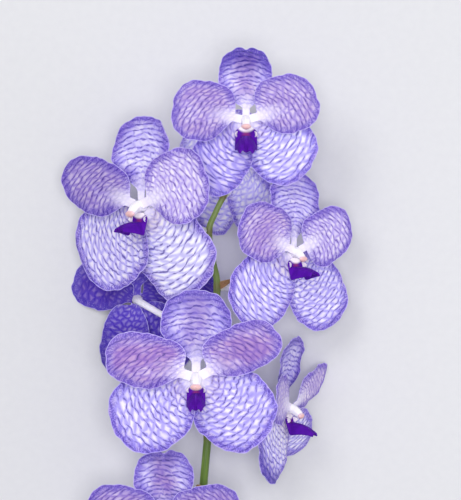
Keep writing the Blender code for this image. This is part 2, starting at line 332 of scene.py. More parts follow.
@dataclass(frozen=True)
class BladeFinish:
    """The front or back of a petal or sepal: pale cells between darker veins, inside a violet margin.

    The mesh carries vein_place (across, along and reach from the claw), margin (distance to the edge,
    run along it and place across the blade) and tone (a seed, how mauve it is, and how deep it is, partly
    as painted shade; below zero the depth pales the blade as painted light).
    Cells, widths and reaches are millimetres. A pair says where a change starts and where it is full.
    """

    name: str
    light: Colour
    ground: Colour
    vein: Colour
    cell: Pair
    vein_strength: float
    vein_half_width: float
    side_net: float
    margin_width: float
    margin_strength: float
    white_reach: Pair
    streak: float
    streak_reach: float = 26.0
    # How uneven the cells' tone is, partly as painted shade
    uneven: float = 0.5
    throat: float = 0.0
    net: float = 0.9
    warm_half_width: float = 60.0
    deepest_with_painted_shade: float = 0.55

    STAGGER = 0.5
    DISORDER = 0.48
    DRIFT = (0.1, 2.0, (7.0, 5.0, 0.0))
    WOBBLE = (0.42, 1.0, (0.9, 0.9, 0.0))
    SEED_SHIFT = (37.3, 11.9)
    PATCHES = (0.07, 3.0)
    BREAKS = (0.33, 1.0)
    GRAIN = (1.6, 2.0)

    CHANCE_SHARE = 0.7
    SHADED_PATCHES = (0.35, 0.7)
    # How far a depth below zero pales cells and ground toward white, as painted light
    CELL_PAINTED_LIGHT = 1.0
    GROUND_PAINTED_LIGHT = 0.3
    HALO_SHARE = 0.46
    HALO_FULL = 0.25

    STREAK_HALF_WIDTH = (8.0, 1.0)
    STREAK_WANDER = 4.0
    STREAK_FULL = 8.0
    STREAK_LOSS = 0.65
    STREAK_LOSS_MAUVE = (0.6, 1.05)
    PATCH_FADE = 0.4
    FADED_PATCHES = (0.5, 0.66)
    STREAK_FADE = 0.6
    FAINTEST_VEIN = 0.07
    CROSSING_VEINS = (0.1, 0.75)
    WHOLE_VEINS = (0.38, 0.58)
    VEIN_FULL = 0.05

    THROAT_REACH = (23.0, 9.0)
    WARM_FULL_SHARE = 0.2
    WARM_MARGIN = (-2.0, 7.0)
    WARM_REACH = (7.0, 22.0)
    WARM_PATCHES = (0.3, 0.6)
    PALEST_WARM = 0.55
    DEPTH_AND_SHADE_CELL = 0.86
    DEPTH_AND_SHADE_HALO = 0.26
    MARGIN_WANDER = 11.0
    MARGIN_FULL = 0.8
    MARGIN_REACH = (8.0, 23.0)

    COMB_PITCH = 1.9
    COMB_SWAY = 3.0
    COMB_JITTER = 0.8
    TICK_WIDTH = (0.36, 0.1)
    DARK_TICKS = 0.7
    PALE_TICKS = 0.3
    PALE_TICK_GRAIN = (0.45, 0.65)
    FRINGE_WANDER = 7.0
    FRINGE_WIDTH = (6.4, 1.2)
    FRINGE_START = (0.4, 0.9)
    FRINGE_REACH = (7.0, 18.0)
    RIM_WIDTH = (0.5, 0.2)
    RIM_STRENGTH = 0.7

    RELIEF = 0.22
    FURROW = (0.1, 1.0)
    CELL_RELIEF = 0.6
    GRAIN_RELIEF = 0.25
    ROUGHNESS = 0.44
    GRAIN_ROUGHNESS = 0.1
    VEIN_GLOSS = 0.06

    MAUVE_TINT = (0.5, 0.32, 0.58)
    # The tint of deep blades, which is partly painted shade
    DEPTH_AND_PAINTED_SHADE_TINT = (0.2, 0.12, 0.52)
    MARGIN_TINT = (0.4, 0.3, 0.72)
    THROAT_TINT = (0.74, 0.62, 0.66)

    def veins(self, sheet: NodeSheet, spot: Signal) -> tuple[Signal, Signal, Signal]:
        """A net of veins whose staggered cells lie across the blade.

        Args:
            sheet: the material's nodes.
            spot: across and along the blade, in millimetres.

        Returns:
            The distance to the nearest vein in millimetres, how far that vein runs across the blade,
            and a random number for each cell.
        """
        width, height = self.cell
        moved = sheet.vector("ADD", spot, sheet.sway(spot, *self.DRIFT))
        moved = sheet.vector("ADD", moved, sheet.sway(spot, *self.WOBBLE))
        x, y = sheet.split(sheet.vector("DIVIDE", moved, (width, height, 1.0)))[:2]
        place = sheet.join(x + y * self.STAGGER, y)
        nearest = sheet.cells(place, Rank.NEAREST, self.DISORDER)
        second = sheet.cells(place, Rank.SECOND, self.DISORDER)
        here = Signal(sheet, nearest.outputs["Position"])
        there = Signal(sheet, second.outputs["Position"])
        way = sheet.vector("NORMALIZE", sheet.vector("SUBTRACT", there, here))
        both = sheet.vector("MULTIPLY", sheet.vector("ADD", here, there), (0.5, 0.5, 0.0))
        gap = sheet.vector("DOT_PRODUCT", sheet.vector("SUBTRACT", both, place), way)
        across, along = sheet.split(way)[:2]
        slope = sheet.join(across / width, (along + across * self.STAGGER) / height)
        chance = sheet.split(Signal(sheet, nearest.outputs["Color"]))[0]
        return gap / sheet.vector("LENGTH", slope), abs(along), chance

    def material(self) -> bpy.types.Material:
        """The finish as a material.

        Returns:
            The material.
        """
        sheet = NodeSheet(self.name)
        across, along, reach = sheet.attribute("vein_place")
        edge, run, side = sheet.attribute("margin")
        seed, mauve, tone_depth_and_painted_light = sheet.attribute("tone")
        # The blade's depth of colour: partly deeper violet, partly painted shade, and painted light below
        # zero
        depth_and_painted_light = sheet.math("MINIMUM", tone_depth_and_painted_light, self.deepest_with_painted_shade)
        shift_across, shift_along = self.SEED_SHIFT
        spot = sheet.join(across + seed * shift_across, along + seed * shift_along)
        gap, crossing, chance = self.veins(sheet, spot)
        patch = sheet.noise(spot, *self.PATCHES)[0]
        breaks = sheet.noise(spot, *self.BREAKS)[0]
        grain = sheet.noise(spot, *self.GRAIN)[0]
        blade = reach.rise(*self.white_reach)

        # Pale cells with soft sides; where the depth is below zero, cells and ground are paled toward
        # white as painted light
        # Random cell tones and patches, which also stand for patches of painted shade on the blade
        shade = (1 - self.CHANCE_SHARE) * patch.rise(*self.SHADED_PATCHES) + self.CHANCE_SHARE * chance
        cell = sheet.mix(self.uneven * shade, self.light, self.ground)
        cell = sheet.mix(depth_and_painted_light * -self.CELL_PAINTED_LIGHT, cell, WHITE)
        ground = sheet.mix(depth_and_painted_light * -self.GROUND_PAINTED_LIGHT, self.ground, WHITE)
        halo = gap.rise(self.HALO_SHARE * self.cell[1], self.HALO_FULL)
        halo = halo * (self.side_net + (1 - self.side_net) * crossing)
        colour = sheet.mix(halo * self.net, cell, ground)

        # Veins, which fade in patches and along a pale midrib, and brown a little in the throat
        wander = breaks - 0.5
        streak = (abs(side) + wander * self.STREAK_WANDER).rise(*self.STREAK_HALF_WIDTH)
        streak = streak * reach.rise(self.streak_reach, self.STREAK_FULL)
        streak = streak * (1 - self.STREAK_LOSS * mauve.rise(*self.STREAK_LOSS_MAUVE))
        faded = (1 - self.PATCH_FADE * patch.rise(*self.FADED_PATCHES)) * (1 - self.STREAK_FADE * streak)
        shown = crossing.rise(*self.CROSSING_VEINS) * breaks.rise(*self.WHOLE_VEINS)
        strength = self.FAINTEST_VEIN + (1 - self.FAINTEST_VEIN) * shown
        line = gap.rise(self.vein_half_width, self.VEIN_FULL) * strength * blade * faded
        near = reach.rise(*self.THROAT_REACH) * self.throat
        colour = sheet.mix(line * self.vein_strength, colour, sheet.mix(near, self.vein, THROAT_BROWN))

        # Mauve middle, deep blades whose depth is partly painted shade, dull throat and violet margin
        middle = abs(side).rise(self.warm_half_width, self.warm_half_width * self.WARM_FULL_SHARE)
        warmth = self.PALEST_WARM + (1 - self.PALEST_WARM) * patch.rise(*self.WARM_PATCHES)
        middle = middle * edge.rise(*self.WARM_MARGIN) * warmth
        colour = sheet.tint(mauve * reach.rise(*self.WARM_REACH) * middle, colour, self.MAUVE_TINT)
        depth = self.DEPTH_AND_SHADE_CELL + self.DEPTH_AND_SHADE_HALO * halo
        colour = sheet.tint(depth_and_painted_light * blade * depth, colour, self.DEPTH_AND_PAINTED_SHADE_TINT)
        colour = sheet.tint(near * blade, colour, self.THROAT_TINT)
        band = (edge + (patch - 0.5) * self.MARGIN_WANDER).rise(self.margin_width, self.MARGIN_FULL)
        band = band * reach.rise(*self.MARGIN_REACH) * self.margin_strength
        colour = sheet.tint(band, colour, self.MARGIN_TINT)

        # The margin's comb of fine dark and pale ticks
        turn = run / self.COMB_PITCH + breaks * self.COMB_SWAY + grain * self.COMB_JITTER
        comb = abs(sheet.math("FRACT", turn) - 0.5).rise(*self.TICK_WIDTH)
        fringe = (edge + wander * self.FRINGE_WANDER).rise(*self.FRINGE_WIDTH)
        fringe = fringe * edge.rise(*self.FRINGE_START) * reach.rise(*self.FRINGE_REACH)
        colour = sheet.mix(fringe * comb * self.DARK_TICKS, colour, MARGIN_VIOLET)
        pale_comb = fringe * (1 - comb) * grain.rise(*self.PALE_TICK_GRAIN)
        colour = sheet.mix(pale_comb * self.PALE_TICKS, colour, RIM_LILAC)

        # White claw and midrib, and the pale thread of the edge
        pale = sheet.math("MAXIMUM", 1 - blade, streak * self.streak)
        colour = sheet.mix(pale, colour, CLAW_WHITE)
        colour = sheet.mix(edge.rise(*self.RIM_WIDTH) * self.RIM_STRENGTH * blade, colour, RIM_LILAC)
        height = gap.rise(*self.FURROW) * self.CELL_RELIEF * blade + grain * self.GRAIN_RELIEF
        return sheet.dress(
            Base_Color=colour,
            Roughness=self.ROUGHNESS + self.GRAIN_ROUGHNESS * (grain - 0.5) - self.VEIN_GLOSS * line,
            Normal=sheet.bump(height, self.RELIEF, strength=0.7),
            Subsurface_Weight=0.08,
            Subsurface_Radius=(0.6, 0.5, 1.0),
            Subsurface_Scale=1.0 * MM,
            Specular_IOR_Level=0.2,
        )


@dataclass(frozen=True)
class RimFinish:
    """The thin edge of a blade: pale lilac, with darker touches."""

    name: str = "blade_rim"

    def material(self) -> bpy.types.Material:
        """The finish as a material.

        Returns:
            The material.
        """
        sheet = NodeSheet(self.name)
        run, side = sheet.attribute("margin")[1:]
        touch = sheet.noise(sheet.join(run, side), 0.45, 2.0)[0]
        colour = sheet.mix(touch.rise(0.35, 0.65) * 0.75, RIM_LILAC, MARGIN_VIOLET)
        return sheet.dress(Base_Color=colour, Roughness=0.4 + 0.1 * touch)


@dataclass(frozen=True)
class LipFinish:
    """A lip: velvety indigo, with a magenta blush and pale lobes where it leaves the column."""

    name: str = "lip_velvet"
    indigo: Colour = paint(86, 10, 162)
    dark: Colour = paint(60, 5, 128)
    # The lighter keel: partly its own colour, partly a painted highlight
    keel_colour_and_highlight: Colour = paint(116, 48, 196)
    blush: Colour = paint(150, 50, 118)
    lobe: Colour = paint(252, 243, 248)
    lobe_shade: Colour = paint(230, 212, 228)

    KEEL_WAVES = 19.0
    LOBE_REACH = (0.09, 0.05)
    BLUSH_REACH = (0.25, 0.13)
    BLUSH_HALF_WIDTH = (0.6, 0.1)
    KEEL_HIGHLIGHT_HALF_WIDTH = (0.16, 0.02)

    def material(self) -> bpy.types.Material:
        """The finish as a material.

        Returns:
            The material.
        """
        sheet = NodeSheet(self.name)
        side, along, seed = sheet.attribute("lip_place")
        edge = abs(side)
        spot = sheet.join(side * 3.0, along * 9.0, seed)
        patch = sheet.noise(spot, 0.8, 3.0)[0]
        grain = sheet.noise(spot, 9.0, 2.0)[0]
        keels = sheet.math("COSINE", side * self.KEEL_WAVES)
        colour = sheet.mix(patch.rise(0.3, 0.7) * 0.5, self.indigo, self.dark)
        # A lighter keel along the lip's middle, partly its own colour and partly a painted highlight
        middle = edge.rise(*self.KEEL_HIGHLIGHT_HALF_WIDTH) * along.rise(0.2, 0.35) * along.rise(0.9, 0.6)
        colour = sheet.mix(middle * 0.5, colour, self.keel_colour_and_highlight)
        flush = along.rise(*self.BLUSH_REACH) * edge.rise(*self.BLUSH_HALF_WIDTH)
        colour = sheet.mix(flush * 0.75, colour, self.blush)
        colour = sheet.mix(along.rise(*self.LOBE_REACH), colour, self.lobe)
        colour = sheet.mix(patch.rise(0.45, 0.6) * along.rise(0.0, -0.1) * 0.5, colour, self.lobe_shade)
        height = keels * edge.rise(0.75, 0.3) * along.rise(0.15, 0.35) + grain * 0.3
        return sheet.dress(
            Base_Color=colour,
            Roughness=0.55 + 0.2 * grain,
            Normal=sheet.bump(height, 0.3, 0.8),
            Specular_IOR_Level=0.12,
        )


@dataclass(frozen=True)
class StalkFinish:
    """The stalk, ovary and column: waxy white, lilac along its ribs and greener at the stem."""

    name: str = "stalk_wax"

    GREEN_REACH = (9.0, 1.0)
    COLUMN_TIP = (0.55, 0.95)

    def material(self) -> bpy.types.Material:
        """The finish as a material.

        Returns:
            The material.
        """
        sheet = NodeSheet(self.name)
        turn, along, column = sheet.attribute("tube_place")
        spot = sheet.join(turn * 14.0, along * 0.35, column)
        streaks = sheet.noise(spot, 1.0, 3.0)[0]
        grain = sheet.noise(spot, 6.0, 2.0)[0]
        colour = sheet.mix(streaks.rise(0.42, 0.66) * (1 - column) * 0.35, WHITE, STALK_LILAC)
        colour = sheet.mix(along.rise(*self.GREEN_REACH) * 0.6, colour, STALK_GREEN)
        blush = column.rise(*self.COLUMN_TIP) * (0.4 + 0.5 * streaks.rise(0.35, 0.7))
        colour = sheet.mix(blush, colour, BLUSH_WHITE)
        return sheet.dress(
            Base_Color=colour,
            Roughness=0.34 + 0.18 * grain,
            Normal=sheet.bump(streaks + grain * 0.3, 0.12, 0.6),
            Subsurface_Weight=0.15,
            Subsurface_Radius=(1.0, 0.8, 0.8),
            Subsurface_Scale=1.5 * MM,
        )


@dataclass(frozen=True)
class CapFinish:
    """The pollen cap at the column's tip: blush pink, rosier at its top, and softly glossy."""

    name: str = "pollen_cap"
    blush: Colour = paint(246, 216, 226)
    rose: Colour = paint(232, 188, 202)
    top: Colour = paint(230, 184, 184)

    def material(self) -> bpy.types.Material:
        """The finish as a material.

        Returns:
            The material.
        """
        sheet = NodeSheet(self.name)
        x, y, z = sheet.attribute("cap_place")
        patch = sheet.noise(sheet.join(x, y, z), 0.9, 3.0)[0]
        colour = sheet.mix(patch.rise(0.4, 0.7) * 0.5, self.blush, self.rose)
        colour = sheet.mix(z.rise(-0.1, 0.6), colour, self.top)
        return sheet.dress(
            Base_Color=colour,
            Roughness=0.3 + 0.15 * patch,
            Normal=sheet.bump(patch, 0.1, 0.5),
            Subsurface_Weight=0.2,
            Subsurface_Radius=(1.0, 0.5, 0.4),
            Subsurface_Scale=1.0 * MM,
        )


@dataclass(frozen=True)
class StemFinish:
    """The flower stem: olive green, streaked along its length and browner at its nodes."""

    name: str = "stem_green"
    olive: Colour = paint(88, 120, 24)
    shade: Colour = paint(60, 88, 16)
    young: Colour = paint(144, 168, 82)
    brown: Colour = paint(120, 98, 62)

    YOUNG_REACH = (110.0, 330.0)

    def material(self) -> bpy.types.Material:
        """The finish as a material.

        Returns:
            The material.
        """
        sheet = NodeSheet(self.name)
        turn, along, node = sheet.attribute("tube_place")
        spot = sheet.join(turn * 18.0, along * 0.06, turn)
        streaks = sheet.noise(spot, 1.0, 3.0)[0]
        patch = sheet.noise(sheet.join(turn * 3.0, along * 0.09), 1.0, 2.0)[0]
        grain = sheet.noise(sheet.join(turn * 40.0, along * 1.2), 1.0, 2.0)[0]
        colour = sheet.mix(streaks.rise(0.35, 0.65) * 0.7, self.olive, self.shade)
        colour = sheet.mix(along.rise(*self.YOUNG_REACH) * 0.75, colour, self.young)
        colour = sheet.mix(patch.rise(0.5, 0.75) * 0.3, colour, self.young)
        colour = sheet.mix(grain.rise(0.62, 0.72) * 0.35, colour, self.young)
        colour = sheet.mix(node * 0.6 * (0.5 + patch), colour, self.brown)
        return sheet.dress(
            Base_Color=colour,
            Roughness=0.38 + 0.2 * grain,
            Normal=sheet.bump(streaks * 0.8 + grain * 0.4, 0.18, 0.8),
        )


@dataclass(frozen=True)
class CutFinish:
    """The cut face of the stem: pale moist pith with darker strands inside a green skin."""

    name: str = "stem_cut"
    pith: Colour = paint(206, 214, 158)
    strand: Colour = paint(142, 152, 84)

    STRANDS_TO_A_METRE = 1900.0

    def material(self) -> bpy.types.Material:
        """The finish as a material.

        Returns:
            The material.
        """
        sheet = NodeSheet(self.name)
        dots = sheet.noise(sheet.object_place(), self.STRANDS_TO_A_METRE)[0]
        colour = sheet.mix(dots.rise(0.5, 0.62), self.pith, self.strand)
        return sheet.dress(Base_Color=colour, Roughness=0.5 - 0.2 * dots, Normal=sheet.bump(dots, 0.1))


@dataclass(frozen=True)
class BractFinish:
    """A dry papery scale: tan, with darker ribs along it and a bleached edge."""

    name: str = "bract_paper"
    tan: Colour = paint(190, 144, 94)
    rib: Colour = paint(138, 98, 60)
    bleached: Colour = paint(216, 186, 140)

    RIB_WAVES = 24.0

    def material(self) -> bpy.types.Material:
        """The finish as a material.

        Returns:
            The material.
        """
        sheet = NodeSheet(self.name)
        side, along, seed = sheet.attribute("bract_place")
        ribs = sheet.math("COSINE", side * self.RIB_WAVES) * 0.5 + 0.5
        patch = sheet.noise(sheet.join(side * 2.0, along * 5.0, seed * 3.1), 1.0, 3.0)[0]
        fibre = sheet.noise(sheet.join(side * 14.0, along * 3.0, seed), 1.0, 3.0)[0]
        colour = sheet.mix(ribs.rise(0.6, 1.0) * 0.7, self.tan, self.rib)
        colour = sheet.mix(patch.rise(0.45, 0.75) * 0.6, colour, self.rib)
        colour = sheet.mix(abs(side).rise(0.7, 1.0) * 0.7, colour, self.bleached)
        return sheet.dress(
            Base_Color=colour,
            Roughness=0.62 + 0.2 * fibre,
            Normal=sheet.bump(ribs + fibre, 0.12, 0.9),
        )


WHITE = paint(253, 250, 255)
CLAW_WHITE = paint(240, 233, 251)
BLUSH_WHITE = paint(248, 222, 230)
RIM_LILAC = paint(208, 196, 252)
MARGIN_VIOLET = paint(92, 68, 176)
THROAT_BROWN = paint(128, 100, 128)
STALK_LILAC = paint(206, 192, 240)
STALK_GREEN = paint(176, 186, 140)

DORSAL_FRONT = BladeFinish(
    name="dorsal_front",
    light=paint(246, 240, 255),
    ground=paint(156, 138, 238),
    vein=paint(76, 60, 160),
    cell=(5.9, 3.2),
    vein_strength=0.85,
    vein_half_width=0.62,
    uneven=0.6,
    side_net=0.3,
    net=0.8,
    warm_half_width=14.0,
    deepest_with_painted_shade=0.95,
    margin_width=9.0,
    margin_strength=0.95,
    white_reach=(5.0, 15.0),
    streak_reach=24.0,
    streak=0.5,
)
PETAL_FRONT = BladeFinish(
    name="petal_front",
    light=paint(255, 249, 255),
    ground=paint(184, 164, 242),
    vein=paint(100, 72, 170),
    cell=(4.9, 3.4),
    vein_strength=0.92,
    vein_half_width=0.58,
    side_net=0.75,
    margin_width=6.5,
    margin_strength=0.95,
    white_reach=(5.0, 15.0),
    streak_reach=31.0,
    streak=0.8,
)
LATERAL_FRONT = BladeFinish(
    name="lateral_front",
    light=paint(250, 245, 255),
    ground=paint(168, 156, 246),
    vein=paint(76, 60, 154),
    cell=(5.3, 3.7),
    vein_strength=0.9,
    vein_half_width=0.66,
    margin_width=7.5,
    margin_strength=0.9,
    white_reach=(4.5, 11.0),
    streak_reach=15.0,
    streak=0.3,
    throat=0.6,
    side_net=0.9,
    deepest_with_painted_shade=0.8,
)
BLADE_BACK = BladeFinish(
    name="blade_back",
    light=paint(250, 248, 255),
    ground=paint(176, 162, 255),
    vein=paint(116, 98, 226),
    cell=(4.9, 4.3),
    vein_strength=0.6,
    vein_half_width=0.8,
    uneven=0.55,
    margin_width=6.0,
    margin_strength=0.8,
    white_reach=(1.0, 4.5),
    streak=0.0,
    side_net=0.9,
    net=0.8,
    deepest_with_painted_shade=1.0,
)


class Slot(Enum):
    """The record's material slots."""

    PETAL = "petal"
    SEPAL = "sepal"
    LIP = "lip"
    COLUMN = "column"
    STEM = "stem"


class Kind(Enum):
    """The three kinds of tepal, whose faces differ."""

    DORSAL = "dorsal sepal"
    PETAL = "petal"
    LATERAL = "lateral sepal"

    def slot(self) -> Slot:
        """The material slot of this kind."""
        return Slot.PETAL if self is Kind.PETAL else Slot.SEPAL


class Side(Enum):
    """The two sides of a bloom, by their sign across it."""

    LEFT = -1
    RIGHT = 1


class Bench:
    """What a modeller does by hand: picks a piece, applies modifiers and hands the piece in."""

    @staticmethod
    def deselect() -> None:
        """Leaves nothing selected, in object mode."""
        if bpy.context.mode != "OBJECT":
            bpy.ops.object.mode_set(mode="OBJECT")
        bpy.ops.object.select_all(action="DESELECT")

    @staticmethod
    def pick(piece: bpy.types.Object) -> None:
        """Leaves one piece selected and active, in object mode.

        Args:
            piece: the piece.
        """
        Bench.deselect()
        piece.select_set(True)
        bpy.context.view_layer.objects.active = piece

    @staticmethod
    def take(name: str) -> bpy.types.Object:
        """Names the primitive that was added last.

        Args:
            name: the piece's name.

        Returns:
            The piece.
        """
        piece = bpy.context.active_object
        piece.name = piece.data.name = name
        return piece

    @staticmethod
    def sheet(
        name: str, cells: tuple[int, int], shape: Callable[[float, float], Vector]
    ) -> bpy.types.Object:
        """A grid primitive whose points go from u and v, each -1 to 1, to their place.

        Args:
            name: the piece's name.
            cells: how many cells run across and along.
            shape: gives the place in metres for u and v.

        Returns:
            The piece.
        """
        Bench.deselect()
        bpy.ops.mesh.primitive_grid_add(x_subdivisions=cells[0], y_subdivisions=cells[1], size=2)
        piece = Bench.take(name)
        for vertex in piece.data.vertices:
            vertex.co = shape(vertex.co.x, vertex.co.y)
        return piece

    @staticmethod
    def mark(piece: bpy.types.Object, name: str, values: np.ndarray) -> None:
        """Stores three numbers on each point of a piece as an attribute.

        Args:
            piece: the piece.
            name: the attribute's name.
            values: one row of three numbers to each point.
        """
        made = piece.data.attributes.new(name, "FLOAT_VECTOR", "POINT")
        made.data.foreach_set("vector", np.asarray(values, np.float32).ravel())

    @staticmethod
    def modify(piece: bpy.types.Object, kind: str, **settings: Any) -> None:
        """Adds one modifier with its settings and applies it.

        Args:
            piece: the piece.
            kind: the modifier's type.
            settings: its settings.
        """
        Bench.pick(piece)
        made = piece.modifiers.new(kind.title(), kind)
        for setting, value in settings.items():
            setattr(made, setting, value)
        bpy.ops.object.modifier_apply(modifier=made.name)

    @staticmethod
    def thicken(piece: bpy.types.Object, material: bpy.types.Material, thickness: float) -> None:
        """Makes a sheet a closed shell with rounded edges.

        Args:
            piece: the sheet.
            material: its finish.
            thickness: the shell's thickness in millimetres.
        """
        piece.data.materials.append(material)
        Bench.modify(piece, "SOLIDIFY", thickness=thickness * MM, offset=0)
        Bench.modify(piece, "SUBSURF", levels=1, render_levels=1)

    @staticmethod
    def hand_in(piece: bpy.types.Object, slot: Slot, node: str = "", crease: float = 50.0) -> None:
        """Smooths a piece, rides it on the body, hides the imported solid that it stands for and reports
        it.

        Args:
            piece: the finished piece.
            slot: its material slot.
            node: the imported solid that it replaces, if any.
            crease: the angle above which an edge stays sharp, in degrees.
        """
        Bench.pick(piece)
        bpy.ops.object.shade_smooth_by_angle(angle=radians(crease))
        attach(piece, "root")
        if node:
            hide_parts(node)
        LOG.info("%s: %d faces, %s", piece.name, len(piece.data.polygons), slot.value)


@dataclass(frozen=True)
class Wardrobe:
    """Every finish of the blooms as materials, made once and shared by the pieces."""

    dorsal: bpy.types.Material = field(default_factory=DORSAL_FRONT.material)
    petal: bpy.types.Material = field(default_factory=PETAL_FRONT.material)
    lateral: bpy.types.Material = field(default_factory=LATERAL_FRONT.material)
    back: bpy.types.Material = field(default_factory=BLADE_BACK.material)
    rim: bpy.types.Material = field(default_factory=RimFinish().material)
    lip: bpy.types.Material = field(default_factory=LipFinish().material)
    stalk: bpy.types.Material = field(default_factory=StalkFinish().material)
    cap: bpy.types.Material = field(default_factory=CapFinish().material)

    def front(self, kind: Kind) -> bpy.types.Material:
        """The finish of a tepal's face."""
        return {Kind.DORSAL: self.dorsal, Kind.PETAL: self.petal, Kind.LATERAL: self.lateral}[kind]


def between(pair: Pair, u: float) -> float:
    """The value of a pair at u: the first at u = 1, clockwise of the midrib, the second at u = -1."""
    return pair[1] + (pair[0] - pair[1]) * (u + 1) / 2


@dataclass(frozen=True)
class Tepal:
    """A petal or sepal. A pair holds the side clockwise of the midrib, then the other side."""

    kind: Kind
    angle: float
    length: float
    half_width: Pair
    widest: Pair
    shoulder: Pair = (1.0, 1.0)
    power: float = 2.2
    claw_length: float = 5.0
    claw_half_width: float = 2.5
    ear: float = 0.0
    notch: float = 0.0
    level: float = SEPAL_LEVEL
    lean: float = 0.0
    curl: float = 0.0
    trough: float = 0.0
    twist: float = 0.0
    wave: float = 0.8
    waves: float = 2.5
    slant: float = 0.0
    mauve: float = 0.0
    # How deep the blade's colour is, partly as painted shade; below zero it is painted light
    depth_and_painted_light: float = 0.0
    deep_tip: float = 0.0
    stretch: float = 1.0

    CELLS = (36, 46)
    FAN_RADIUS = 30.0
    BLADE_MIDDLE = 0.55
    RUFFLE = 0.64
    RUFFLE_WAVES = ((9, 1.0), (14, 0.7), (23, 0.5))
    ROOT_REACH = 0.9
    THIN_EDGE = 0.4
    THIN_EDGE_WIDTH = 3.0
    FRILL = 0.28
    FRILLS = 7.0
    FRILL_SLANT = 2.3
    MIDRIB = 0.35
    MIDRIB_HALF_WIDTH = 1.7
    TIP_START = 0.45

    def outline(self, u: float, v: float) -> Pair:
        """The flat blade.

        Args:
            u: from side to side, -1 to 1.
            v: from the claw, -1, past the widest line, 0, to the tip, 1.

        Returns:
            The place across and along.
        """
        half_width = between(self.half_width, u)
        widest = between(self.widest, u) * self.length
        n = self.power
        if v < 0:
            claw_end = CLAW_START + self.claw_length
            y = CLAW_START + (widest - CLAW_START) * (1 + v)
            t = max(0.0, (y - claw_end) / (widest - claw_end))
            spread = (1 - (1 - t) ** 3) ** between(self.shoulder, u)
            y -= self.ear * u**2 * 4 * t * (1 - t)
            return u * (self.claw_half_width + (half_width - self.claw_half_width) * spread), y
        x = u * half_width * (1 - v**n / 2) ** (1 / n)
        y = widest + (self.length - widest) * v * (1 - abs(u) ** n / 2) ** (1 / n)
        return x, y - self.notch * v**6 * exp(-((u / NOTCH_HALF_WIDTH) ** 2))

    def ruffled(self, u: float, v: float) -> Pair:
        """The flat blade with the small unevenness of a grown edge.

        Args:
            u: from side to side, -1 to 1.
            v: from the claw to the tip, -1 to 1.

        Returns:
            The place across and along.
        """
        x, y = self.outline(u, v)
        middle = self.length * self.BLADE_MIDDLE
        turn = atan2(x, y - middle)
        edge = max(abs(u) * min(1.0, 1.4 + v), v, 0.0) ** 6
        seed = self.angle + self.length
        push = 0.0
        for number, (waves, height) in enumerate(self.RUFFLE_WAVES, 1):
            push += height * sin(waves * turn + number * seed)
        share = 1 + self.RUFFLE * edge * push / self.length
        return x * share, middle + (y - middle) * share

    def point(self, u: float, v: float) -> Vector:
        """A place on the bent blade, in the bloom's frame.

        Args:
            u: from side to side, -1 to 1.
            v: from the claw to the tip, -1 to 1.

        Returns:
            The place, with y to the dorsal side and z to the bloom's face.
        """
        x, y = self.ruffled(u, v)
        along = y / self.length
        across = x / max(self.half_width)
        side_edge = abs(u) ** 3
        edge = side_edge * min(1.0, 2 * along) if v < 0 else max(side_edge, v**6)
        lift = y * tan(radians(self.lean)) + self.curl * along**2 + self.trough * across**2
        ripple = self.wave * edge * sin(2 * pi * self.waves * along + u)
        frill = sin(2 * pi * self.FRILLS * along + self.FRILL_SLANT * u + self.angle)
        frill *= self.FRILL * edge**2
        rib = self.MIDRIB * exp(-((x / self.MIDRIB_HALF_WIDTH) ** 2)) * sin(pi * min(1.0, along)) ** 0.5
        point = Matrix.Rotation(radians(self.twist), 3, "Y") @ Vector((x, 0, lift + ripple + frill - rib))
        point.y += y - self.ROOT_REACH * max(0.0, -v) ** 8
        point = Matrix.Rotation(radians(self.angle - 90), 3, "Z") @ point
        point.z += self.level
        return point

    def margins(self, flat: np.ndarray) -> np.ndarray:
        """How far each point is from the blade's edge, and where along it.

        Args:
            flat: the flat place of every grid point, row by row from the claw.

        Returns:
            For each point the distance, the run along the edge and the place across.
        """
        columns, rows = self.CELLS[0] + 1, self.CELLS[1] + 1
        grid = flat.reshape(rows, columns, 2)
        border = np.concatenate([grid[:, 0], grid[-1, 1:-1], grid[::-1, -1]])
        steps = np.linalg.norm(np.diff(border, axis=0), axis=1)
        run = np.concatenate([[0.0], np.cumsum(steps)])
        apart = np.linalg.norm(flat[:, None] - border[None], axis=2)
        nearest = apart.argmin(axis=1)
        return np.column_stack([apart.min(axis=1), run[nearest], flat[:, 0]])

    def build(
        self,
        name: str,
        bloom_frame: Matrix,
        lowest: float,
        seed: int,
        materials: list[bpy.types.Material],
    ) -> bpy.types.Object:
        """Makes the blade as a thin closed shell.

        Args:
            name: the piece's name.
            bloom_frame: from the bloom's frame to the spray's, in millimetres.
            lowest: the least height that its middle sheet may have.
            seed: sets its own layout of veins.
            materials: the front, back and rim.

        Returns:
            The piece.
        """
        grid: list[Pair] = []

        def shape(u: float, v: float) -> Vector:
            """Keeps u and v.

            Args:
                u: from side to side, -1 to 1.
                v: from the claw to the tip, -1 to 1.

            Returns:
                The place in metres.
            """
            grid.append((u, v))
            place = bloom_frame @ self.point(u, v)
            place.z = max(place.z, lowest)
            return place * MM

